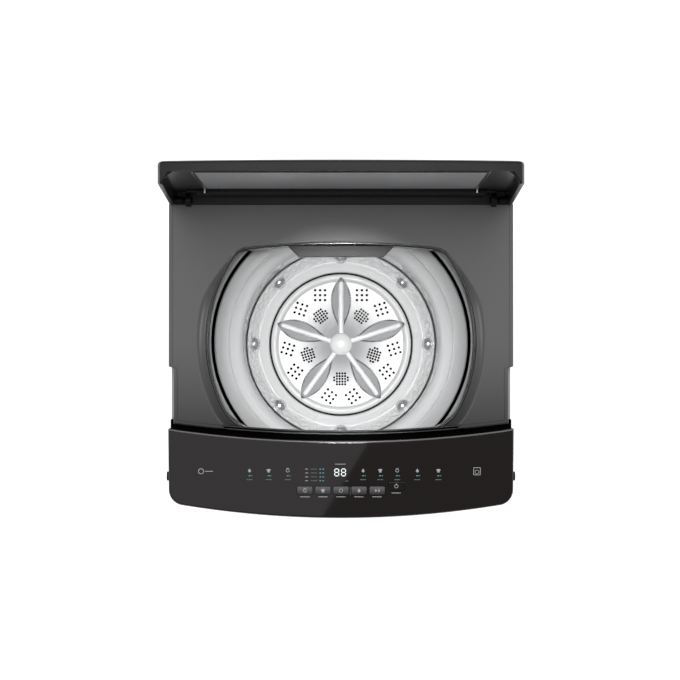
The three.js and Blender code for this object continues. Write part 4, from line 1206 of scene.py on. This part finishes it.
# ------------------------------------------------------------------------------------------ tub and basket
@dataclass
class Basket(Assembly):
    """The spinning basket: balance ring, embossed wall with drain holes, bowl, bosses and lint filter."""

    body: str = "basket"
    ring_seam: float = 176.5
    boss_count: int = 8
    boss_half: tuple = (11.5, 14.0, 10.5)
    boss_lean: float = -38.0
    boss_z: float = 388.0
    boss_radius: float = 154.5
    facets: int = 112
    hole_columns: int = 36
    hole_rows: int = 9

    def __post_init__(self) -> None:
        """Read the basket's limits from the frame."""
        low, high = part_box("balance_ring")
        self.ring_outer = high.x / MM
        self.ring_top, self.ring_bottom = high.z / MM, low.z / MM
        low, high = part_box("basket_wall")
        self.wall_outer, self.wall_top, self.wall_bottom = high.x / MM, high.z / MM, low.z / MM
        low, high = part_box("basket_base")
        self.base_outer, self.base_top, self.base_bottom = high.x / MM, high.z / MM, low.z / MM
        self.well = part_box("pulsator")[1].x / MM + 3

    def balance_ring(self) -> Mesh:
        """The smooth ring with its fine weld seam."""
        outer, top, bottom, seam = self.ring_outer, self.ring_top, self.ring_bottom, self.ring_seam
        inner = 154.0
        crown = [(outer - 3 + 3 * math.sin(a), top - 3 + 3 * math.cos(a)) for a in
                 [math.pi / 2 * (1 - i / 6) for i in range(7)]]
        bullnose = arc((inner + 15, top - 17), 15.0, 95, 180, 14)
        profile = [(inner, bottom + 8), (inner + 3, bottom), (outer, bottom), *crown, (seam + 1.4, top),
                   (seam + 0.5, top - 1.2), (seam - 0.5, top - 1.2), (seam - 1.4, top - 0.2), *bullnose]
        return turned(profile, 160)

    def wall_radius(self, z: float) -> float:
        """The wall's outer radius at a height."""
        low, high = self.base_outer + 2, self.wall_outer
        share = min(max((z - 440) / 180, 0.0), 1.0)
        return low + 3 * min((z - self.wall_bottom) / 117, 1.0) + (high - low - 3) * share

    def wall(self) -> Mesh:
        """The steel wall, with a rolled bead near its top and swages along the taper."""
        heights = [self.wall_bottom + (self.wall_top - self.wall_bottom) * i / 60 for i in range(61)]
        swage = {i: 1.4 for i in (28, 29, 44, 45, 57)}
        outside = [(min(self.wall_radius(z), self.wall_outer - 0.2) - swage.get(i, 0.0), z)
                   for i, z in enumerate(heights)]
        inside = [(r - 1.4, z) for r, z in reversed(outside)]
        return turned(outside + inside, 144)

    def holes(self) -> Mesh:
        """Rows of small drain holes in the wall, drawn as thin discs of painted shade."""
        parts = []
        for row in range(self.hole_rows):
            z = 470 + row * 32
            for column in range(self.hole_columns):
                angle = 2 * math.pi * (column + 0.5 * (row % 2)) / self.hole_columns
                radius = self.wall_radius(z) - 1.75
                dot = prism(polygon(1.9, (0, 0), 8), 0.0, 0.25)
                turn = Matrix.Rotation(angle, 4, "Z") @ Matrix.Translation((radius * MM, 0, z * MM))
                parts.append(moved(dot, turn @ Matrix.Rotation(-math.pi / 2, 4, "Y")))
        return merged(parts)

    def bowl(self) -> Mesh:
        """The white bowl round the pulsator, with two fine steps in its slope."""
        outer, well, low = self.base_outer, self.well, self.base_bottom
        profile = [(20.0, low), (outer, low), (outer, 362.0), (148.0, 362.0), (148.0, 369.4), (147.4, 370.2),
                   (146.2, 370.4), (144.6, 369.6), (142.6, 367.2), (142.0, 365.9), (141.0, 365.2),
                   (138.2, 362.8), (137.6, 361.6), (136.6, 360.9), (133.6, 358.4), (131.4, 356.4),
                   (129.8, 354.0), (well, 351.0), (well, 334.0), (20.0, 334.0)]
        return turned(profile, 160)

    def facet_band(self) -> Mesh:
        """The steel band above the bowl, pressed into staggered diamonds with flat facets."""
        count, outer = self.facets, self.base_outer
        rows = ((148.4, 366.8, 0.0), (148.4, 369.2, 0.0), (151.6, 373.0, 0.9), (156.0, 379.6, -1.5),
                (160.6, 388.0, 1.8), (163.8, 396.0, -1.2), (outer, 401.6, 0.0), (outer, 366.8, 0.0))
        rings = []
        for radius, z, wave in rows:
            ring = []
            for i in range(count):
                angle = 2 * math.pi * i / count
                lift = wave * (1 if i % 2 else -1)
                ring.append(((radius - lift * 0.5) * math.cos(angle), (radius - lift * 0.5) * math.sin(angle),
                             z + lift))
            rings.append(ring)
        bm = lofted(rings, ends=False)
        bmesh.ops.triangulate(bm, faces=bm.faces)
        return bm

    def gap_shade(self) -> Mesh:
        """A dark ring in the gap round the pulsator: painted shade for the shadowed gap."""
        inner, outer = self.well - 2.8, self.well - 0.1
        return turned([(inner, 341.0), (outer, 341.0), (outer, 347.4), (outer - 0.6, 348.0),
                       (inner + 0.6, 348.0), (inner, 347.4)], 128)

    def bosses(self) -> Mesh:
        """Eight polished bosses spaced round the facet band."""
        parts = []
        for i in range(self.boss_count):
            bm = bmesh.new()
            bmesh.ops.create_uvsphere(bm, u_segments=28, v_segments=16, radius=1.0)
            shape = Matrix.Diagonal((*[half * MM for half in self.boss_half], 1))
            lean = Matrix.Rotation(math.radians(self.boss_lean), 4, "Y")
            place = Matrix.Rotation(2 * math.pi * i / self.boss_count, 4, "Z") @ Matrix.Translation(
                (self.boss_radius * MM, 0, self.boss_z * MM))
            parts.append(moved(bm, place @ lean @ shape))
        return merged(parts)

    def filter(self) -> Mesh:
        """The lint filter: a frame with slats against the wall."""
        low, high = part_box("lint_filter")
        x, y = (low.x / MM, high.x / MM), (low.y / MM + 5, high.y / MM - 4)
        z = (low.z / MM, high.z / MM)
        slats = [box((x[0] + 12 + i * 8.6, x[0] + 15 + i * 8.6), (y[0] - 4, y[0] + 2), (z[0] + 12, z[1] - 12),
                     0.8, 2)
                 for i in range(6)]
        return merged([box(x, y, z, 3.0, 3),
                       box((x[0] + 10, x[1] - 10), (y[0] - 2, y[0] + 2), (z[0] + 10, z[1] - 10), 1, 2),
                       *slats])

    def build(self) -> None:
        """Make the basket's pieces."""
        self.piece("balance_ring_moulding", self.balance_ring(), RING_PP, "ring_plastic", ["balance_ring"])
        self.piece("basket_wall_sheet", self.wall(), DRUM_STEEL, "stainless", ["basket_wall"])
        # The drain holes are flat discs of painted shade.
        self.piece("basket_drain_hole_shades", self.holes(), HOLLOW_SHADE, "stainless")
        self.piece("basket_bowl", self.bowl(), WHITE_PP, "ring_plastic", ["basket_base"])
        self.piece("basket_facet_band", self.facet_band(), FACET_STEEL, "stainless", ["basket_rim"], crease=1)
        # Painted shade: a dark ring where the gap round the pulsator falls into shadow.
        self.piece("pulsator_gap_shade", self.gap_shade(), RUBBER, "rubber")
        self.piece("basket_bosses", self.bosses(), BOSS_STEEL, "stainless")
        self.piece("lint_filter_frame", self.filter(), WHITE_PP, "tub_plastic", ["lint_filter"])
        self.dress(CAST_ALU, "basket_flange")
        self.dress(ZINC, "spin_shaft")


@dataclass
class Pulsator(Assembly):
    """The wash plate: a rimmed dish with silver hollows, white vanes, small holes and a domed hub."""

    body: str = "pulsator_drive"
    petals: int = 5
    petal_inner: float = 24.0
    petal_outer: float = 120.0
    petal_half: float = 18.4
    petal_depth: float = 5.0
    vane_half: float = 4.7
    vane_outer: float = 114.0
    vane_rise: float = 3.4
    big_hole: float = 2.4
    small_hole: float = 2.05

    def __post_init__(self) -> None:
        """Read the plate's limits from the frame."""
        low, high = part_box("pulsator")
        self.radius = high.x / MM
        self.bottom, self.top = low.z / MM, high.z / MM - 7

    def swell(self, radius: float) -> float:
        """The plate's height at a radius, away from the petals."""
        start = self.radius - 13
        if radius > start:
            share = min((radius - start) / 13, 1.0)
            return self.top + 5.2 * math.sin(math.pi * share) ** 0.7
        return self.top + 7.0 * (1 - radius / start) ** 2.0

    def half_width(self, share: float) -> float:
        """A petal's half-width, widest beyond its middle, at a share of its length."""
        return self.petal_half * math.sin(math.pi * share ** 1.22) ** 0.82 if 0 < share < 1 else 0.0

    def height(self, radius: float, angle: float) -> float:
        """The plate's height at a radius and an angle, sunk under the petals."""
        turn = 2 * math.pi / self.petals
        off = (angle - math.pi / 2 + turn / 2) % turn - turn / 2
        share = (radius * math.cos(off) - self.petal_inner) / (self.petal_outer - self.petal_inner)
        lens = self.half_width(share)
        z = self.swell(radius)
        if lens < 0.5:
            return z
        inside = max(0.0, 0.94 - abs(radius * math.sin(off)) / lens)
        return z - (self.petal_depth + 1.2) * min(inside * 3.5, 1.0)

    def plate(self) -> Mesh:
        """Spin a fine profile and sink it under the petals."""
        inner, rim = 9.6, self.radius
        radii = [inner + (rim - 1.0 - inner) * i / 100 for i in range(101)]
        profile = [(inner, self.bottom), (rim - 3, self.bottom), (rim, self.bottom + 3), (rim, self.top - 1)]
        profile += [(r, self.top) for r in reversed(radii)]
        bm = turned(profile, 360)
        for vert in bm.verts:
            x, y, z = vert.co / MM
            if abs(z - self.top) < 0.01:
                vert.co.z = self.height(math.hypot(x, y), math.atan2(y, x)) * MM
        return bm

    def petal_outline(self, scale: float) -> list[Point]:
        """One petal's outline along +X, narrowed by a scale towards its axis."""
        length = self.petal_outer - self.petal_inner
        middle = self.petal_inner + 0.56 * length
        upper = []
        for i in range(41):
            share = (1 - math.cos(math.pi * i / 40)) / 2
            along = self.petal_inner + length * share
            upper.append((middle + (along - middle) * (0.25 + 0.75 * scale), self.half_width(share) * scale))
        return upper[:-1] + [(x, -y) for x, y in reversed(upper)][:-1]

    def hollow(self) -> Mesh:
        """The silver lining of one petal, dished towards its axis."""
        rings = []
        for scale, drop in ((0.99, 1.4), (1.0, -0.12), (0.97, 0.1), (0.9, 0.9), (0.8, 2.0), (0.65, 3.3),
                            (0.45, 4.4), (0.22, 5.0)):
            rings.append([(x, y, self.swell(math.hypot(x, y)) - drop) for x, y in self.petal_outline(scale)])
        return lofted(rings)

    def vane(self) -> Mesh:
        """The white vane along one petal's axis: a long domed rib with a rounded outer end."""
        start, end = 14.0, self.vane_outer
        middle, half = (start + end) / 2, (end - start) / 2
        rings = []
        for inset, lift in ((0.0, -6.0), (0.0, 0.2), (0.25, 1.2), (0.8, 2.2), (1.7, 3.0), (2.8, 3.4),
                            (4.0, 3.5)):
            outline = rounded(half - inset, max(self.vane_half - inset, 0.4),
                              max(self.vane_half - inset, 0.4) - 0.01, 8)
            rings.append([(x + middle, y, self.swell(min(x + middle, 108.0)) + lift * self.vane_rise / 3.5)
                          for x, y in outline])
        return lofted(rings)

    def spread(self, make: Callable[[], Mesh]) -> Mesh:
        """Repeat a shape made along +X on each petal's axis."""
        parts = []
        for i in range(self.petals):
            angle = math.pi / 2 + 2 * math.pi * i / self.petals
            parts.append(moved(make(), Matrix.Rotation(angle, 4, "Z")))
        return merged(parts)

    def hole_places(self) -> list[tuple[float, float, float]]:
        """Where the small holes stand, with their radii, in three groups for each sector."""
        places = []
        turn = 2 * math.pi / self.petals
        close = [(row, column) for row in range(5) for column in range(4)] + [(1.5, -1), (1.5, 4), (2.5, -1),
                                                                              (2.5, 4)]
        for i in range(self.petals):
            middle = math.pi / 2 + turn * (i + 0.5)
            for side in (-1, 1):
                lean = math.radians(45 - 9 * side)
                u, v = 96 * math.cos(math.radians(12.9) * side), 96 * math.sin(math.radians(12.9) * side)
                for row in (-1, 0, 1):
                    for column in (-1, 0, 1):
                        x = u + 8.9 * (row * math.cos(lean) - column * math.sin(lean))
                        y = v + 8.9 * (row * math.sin(lean) + column * math.cos(lean))
                        places.append((math.hypot(x, y), middle + math.atan2(y, x), self.big_hole))
            for row, column in close:
                x, y = 52.5 + 4.9 * row, 4.9 * (column - 1.5)
                places.append((math.hypot(x, y), middle + math.atan2(y, x), self.small_hole))
        return places

    def holes(self) -> Mesh:
        """Thin discs of painted shade that stand for the drilled holes."""
        parts = []
        for radius, angle, size in self.hole_places():
            cup = prism(polygon(size, (0, 0), 10), 0.0, 0.2)
            place = (radius * math.cos(angle) * MM, radius * math.sin(angle) * MM,
                     (self.height(radius, angle) + 0.06) * MM)
            parts.append(moved(cup, Matrix.Translation(place)))
        return merged(parts)

    def cap(self) -> Mesh:
        """The domed hub cap."""
        low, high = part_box("pulsator_cap")
        radius, base, rise = high.x / MM, low.z / MM - 2, (high.z - low.z) / MM + 2
        dome = [(radius * math.cos(a) ** 0.8, base + rise * math.sin(a))
                for a in [math.pi / 2 * i / 16 for i in range(16)]]
        return turned([(0, base), *dome, (0, base + rise)], 64)

    def build(self) -> None:
        """Make the plate, its petals, vanes, holes and cap."""
        # The plate's colour carries painted shade near the hub.
        self.piece("pulsator_plate", self.plate(), PLATE_PP_HUB_SHADE, "ring_plastic", ["pulsator"], crease=60)
        self.piece("pulsator_petals", self.spread(self.hollow), PETAL_SILVER, "ring_plastic")
        self.piece("pulsator_vanes", self.spread(self.vane), WHITE_PP, "ring_plastic", crease=60)
        # The plate's holes are flat discs of painted shade.
        self.piece("pulsator_hole_shades", self.holes(), HOLLOW_SHADE, "ring_plastic")
        self.piece("pulsator_hub_cap", self.cap(), WHITE_PP, "ring_plastic", ["pulsator_cap"])
        self.dress(ZINC, "wash_shaft")
        self.dress(CAST_ALU, "drive_pulley")


@dataclass
class Tub(Assembly):
    """The outer tub, its cover ring and the drive that hangs under it."""

    body: str = "tub"

    def cover(self) -> Mesh:
        """The splash ring on the tub's rim."""
        low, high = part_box("tub_cover")
        outer, bottom, top = high.x / MM, low.z / MM, high.z / MM
        inner = 202.0
        lip = arc((inner + 4, top - 4), 4.0, 90, 200, 8)
        profile = [(outer, bottom), (outer, top - 3), (outer - 1, top - 1), (outer - 3, top), *lip,
                   (inner + 4, top - 4), (outer - 8, top - 6.2), (outer - 2.2, top - 8),
                   (outer - 2.2, bottom)]
        return turned(profile, 128)

    def build(self) -> None:
        """Make the cover ring and dress the rest."""
        self.piece("tub_cover_ring", self.cover(), TUB_PP, "tub_plastic", ["tub_cover"])
        self.dress(TUB_PP, "outer_tub", "drain_valve")
        self.dress(ZINC, "tub_support")
        self.dress(CAST_ALU, "gearbox")
        self.dress(MOTOR_PAINT, "motor")
        self.dress(RUBBER, "drive_belt")
        cups = [name for name in frame["nodes"] if name.startswith("damper_cup")]
        self.dress(BLACK_PP, *cups)


# ------------------------------------------------------------------------------------------ cabinet
@dataclass
class Cabinet(Assembly):
    """The steel cabinet, back panel, base, feet, suspension and water fittings."""

    corner: float = 24.0
    flange: float = 9.0
    sheet: float = 1.2
    rear_open: float = 234.5
    head_height: float = 16.0
    gusset_z: float = 800.0
    screw_places: tuple = ((-239, 92), (-239, 330), (-239, 590), (-239, 826), (239, 92), (239, 330),
                           (239, 590), (239, 826), (-80, 838), (80, 838), (-80, 76), (80, 76))

    def __post_init__(self) -> None:
        """Read the cabinet's limits from the frame."""
        low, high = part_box("cabinet_shell")
        self.half, self.front, self.rear = high.x / MM, low.y / MM, high.y / MM
        self.bottom, self.top = low.z / MM, high.z / MM

    def wrap_line(self, inset: float) -> list[Point]:
        """The wrap seen from above, from one side of the rear opening round the front to the other."""
        radius = self.corner - inset
        x, y0, y1 = self.half - self.corner, self.front + self.corner, self.rear - self.corner
        return [(-self.rear_open, self.rear - inset), *arc((-x, y1), radius, 90, 180, 10),
                *arc((-x, y0), radius, 180, 270, 10),
                *arc((x, y0), radius, 270, 360, 10), *arc((x, y1), radius, 0, 90, 10),
                (self.rear_open, self.rear - inset)]

    def wrap(self) -> Mesh:
        """The bent sheet round the front and sides, with a pressed line above its foot."""
        bead = self.bottom + 28
        steps = [(0.6, self.bottom), (0.0, self.bottom + 0.6), (0.0, bead - 2.4), (0.9, bead - 1.2),
                 (0.9, bead + 1.2), (0.0, bead + 2.4), (0.0, self.top - self.head_height)]
        rings = []
        for inset, z in steps:
            band = self.wrap_line(inset) + self.wrap_line(self.sheet + 0.9)[::-1]
            rings.append([(x, y, z) for x, y in band])
        return lofted(rings)

    def head(self) -> Mesh:
        """The closed band at the top, folded inwards into a flange."""
        low, top = self.top - self.head_height, self.top
        middle, deep = (self.front + self.rear) / 2, (self.rear - self.front) / 2

        def ring(inset: float, z: float) -> list:
            return [(x, y + middle, z)
                    for x, y in rounded(self.half - inset, deep - inset, self.corner - inset, 12)]

        sheet = self.sheet
        return lofted([ring(sheet, low), ring(0.0, low), ring(0.0, top - 1.6), ring(0.5, top - 0.5),
                       ring(1.6, top),
                       ring(self.flange, top), ring(self.flange, top - sheet),
                       ring(sheet + 0.8, top - sheet - 0.8),
                       ring(sheet, low)], ends=False)

    def gussets(self) -> Mesh:
        """Corner plates with bent-down lips, each with a collar for its suspension rod."""
        parts = []
        rod_low, rod_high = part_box("suspension_rod_front_right")
        rod = ((rod_low.x + rod_high.x) / 2 / MM, abs(rod_low.y + rod_high.y) / 2 / MM)
        for sx in (-1, 1):
            for sy in (-1, 1):
                wall = self.front if sy < 0 else self.rear
                x, y = sx * (self.half - 2), wall - sy * 2
                outline = [(x, y - sy * 96), (x, y - sy * 20), (x - sx * 20, y), (x - sx * 90, y)]
                outline = outline if sx * sy < 0 else outline[::-1]
                parts.append(prism(outline, self.gusset_z, self.gusset_z + 3, 0.6))
                parts.append(turned([(5.2, self.gusset_z + 3), (9.0, self.gusset_z + 3),
                                     (9.0, self.gusset_z + 4.4), (8.2, self.gusset_z + 5.2),
                                     (5.2, self.gusset_z + 5.2)], 28, (sx * rod[0], sy * rod[1])))
        return merged(parts)

    def screws(self) -> Mesh:
        """Hexagon-headed screws with pressed washers round the back panel."""
        seat = self.rear + 1.8
        parts = []
        for x, z in self.screw_places:
            washer = turned([(0, 0), (6.4, 0), (6.2, 0.7), (5.0, 1.1), (0, 1.2)], 24)
            head = prism(polygon(3.9, (0, 0), 6), 1.0, 3.4, 0.5)
            slot = prism([(-2.8, -0.4), (2.8, -0.4), (2.8, 0.4), (-2.8, 0.4)], 3.3, 3.6)
            place = Matrix.Translation(Vector((x, seat, z)) * MM)
            parts.append(moved(merged([washer, head, slot]), place @ Matrix.Rotation(-math.pi / 2, 4, "X")))
        return merged(parts)

    def build(self) -> None:
        """Make the cabinet and dress what it holds."""
        self.piece("cabinet_wrap", merged([self.wrap(), self.head()]), CABINET_COAT, "cabinet_paint",
                   ["cabinet_shell"])
        self.piece("cabinet_corner_gussets", self.gussets(), ZINC, "cabinet_paint")
        self.piece("back_panel_screws", self.screws(), ZINC, "zinc_steel")
        self.dress(ZINC, "back_panel", *[n for n in frame["nodes"] if n.startswith("suspension_rod")])
        self.dress(BLACK_PP, "base_frame", "lid_lock", "drain_stub", "screw_cap_left", "screw_cap_right")
        self.dress(RUBBER, "inlet_hose", "drain_hose", "cord_gland", "foot_rear_left", "foot_rear_right",
                   "foot_front_left", "foot_front_right")
        self.dress(TUB_PP, "dispenser_housing", "inlet_valve")
        self.dress(CAST_ALU, "motor_pulley")


# ------------------------------------------------------------------------------------------ studio
@dataclass
class Studio:
    """The pale floor, the soft lights and the camera above the machine."""

    camera_height: float = 3.0
    room_light: float = 0.24
    spot_watts: float = 84.0
    spot_angle: float = 12.2
    spot_blend: float = 0.12
    spot_radius: float = 0.05
    spot_height: float = 2.2
    camera_y: float = -0.032
    pixels_per_metre: float = 657.0
    image: int = 680
    sensor: float = 36.0

    def floor(self) -> None:
        """A wide pale floor."""
        bm = bmesh.new()
        bmesh.ops.create_grid(bm, x_segments=1, y_segments=1, size=12.0)
        mesh = bpy.data.meshes.new("studio_floor")
        bm.to_mesh(mesh)
        bm.free()
        pale = Finish("pale_floor", "#fdfdfd", 0.9, bump_mm=0.0, mottle=0.003, specular=0.1, glow=0.7)
        mesh.materials.append(pale.material())
        made = bpy.data.objects.new("studio_floor", mesh)
        bpy.context.scene.collection.objects.link(made)

    def light(self, name: str, place: Sequence[float], aim: Sequence[float], size: Point, power: float,
              turn: float = 0.0) -> None:
        """A rectangular soft light.

        Args:
            name: the light's name.
            place: where it stands, in metres.
            aim: what it points at.
            size: its width and height.
            power: its power in watts.
            turn: a turn about its own axis, in degrees.
        """
        data = bpy.data.lights.new(name, "AREA")
        data.shape = "RECTANGLE"
        data.size, data.size_y = size
        data.energy = power
        made = bpy.data.objects.new(name, data)
        bpy.context.scene.collection.objects.link(made)
        way = Vector(aim) - Vector(place)
        made.location = place
        roll = Matrix.Rotation(math.radians(turn), 3, "Z").to_quaternion()
        made.rotation_euler = (way.to_track_quat("-Z", "Y") @ roll).to_euler()

    def lights(self) -> None:
        """A dim room, a wide canopy over the rear, a slanted panel at the front left and side soft boxes."""
        world = bpy.data.worlds.new("studio_room")
        world.use_nodes = True
        world.node_tree.nodes["Background"].inputs["Color"].default_value = (1, 1, 1, 1)
        world.node_tree.nodes["Background"].inputs["Strength"].default_value = self.room_light
        bpy.context.scene.world = world
        self.light("rear_canopy", (0.0, 1.75, 5.0), (0.0, 1.75, 0.0), (3.6, 2.7), 82)
        self.light("middle_canopy", (0.0, 0.23, 5.0), (0.0, 0.23, 0.0), (3.6, 0.34), 11)
        self.light("front_panel", (-0.987, -1.67, 5.5), (-0.987, -1.67, 0.0), (1.8, 2.4), 7.5, -30.6)
        self.light("left_box", (-3.2, -0.3, 1.5), (0, 0, 0.8), (0.9, 0.9), 16)
        self.light("right_box", (3.2, -0.3, 1.5), (0, 0, 0.8), (0.9, 0.9), 16)
        self.drum_spot()

    def drum_spot(self) -> None:
        """A round light straight down into the drum, held inside the mouth so that the deck stays dim."""
        data = bpy.data.lights.new("drum_spot", "SPOT")
        data.energy = self.spot_watts
        data.spot_size = math.radians(self.spot_angle)
        data.spot_blend = self.spot_blend
        data.shadow_soft_size = self.spot_radius
        made = bpy.data.objects.new("drum_spot", data)
        bpy.context.scene.collection.objects.link(made)
        made.location = (0.0, 0.0, self.spot_height)
        made.visible_camera = False

    def camera(self) -> None:
        """The camera, almost straight above the drum."""
        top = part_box("lid_frame")[0].z - 0.0025
        data = bpy.data.cameras.new("overhead_camera")
        data.sensor_width = self.sensor
        data.lens = self.pixels_per_metre * self.camera_height * self.sensor / self.image
        data.clip_end = 50
        made = bpy.data.objects.new("overhead_camera", data)
        bpy.context.scene.collection.objects.link(made)
        made.location = (0, self.camera_y, top + self.camera_height)
        aim = Vector((-0.0015, 0.0015, top))
        way = (aim - made.location).normalized()
        right = way.cross(Vector((0, 1, 0))).normalized()
        up = right.cross(way)
        made.rotation_euler = Matrix((right, up, -way)).transposed().to_euler()
        bpy.context.scene.camera = made
        bpy.context.scene.view_settings.view_transform = "Standard"

    def build(self) -> None:
        """Set up the floor, the lights and the camera."""
        self.camera()
        self.floor()
        self.lights()


def main() -> None:
    """Build every sub-assembly in order and keep the sizes."""
    logging.basicConfig(level=logging.INFO, format="%(name)s: %(message)s")
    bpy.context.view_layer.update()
    Studio().build()
    for assembly in (Cabinet(), TopCover(), Console(), Lid(), Drawer(), Tub(), Basket(), Pulsator()):
        assembly.build()


if __name__ == "__main__":
    main()
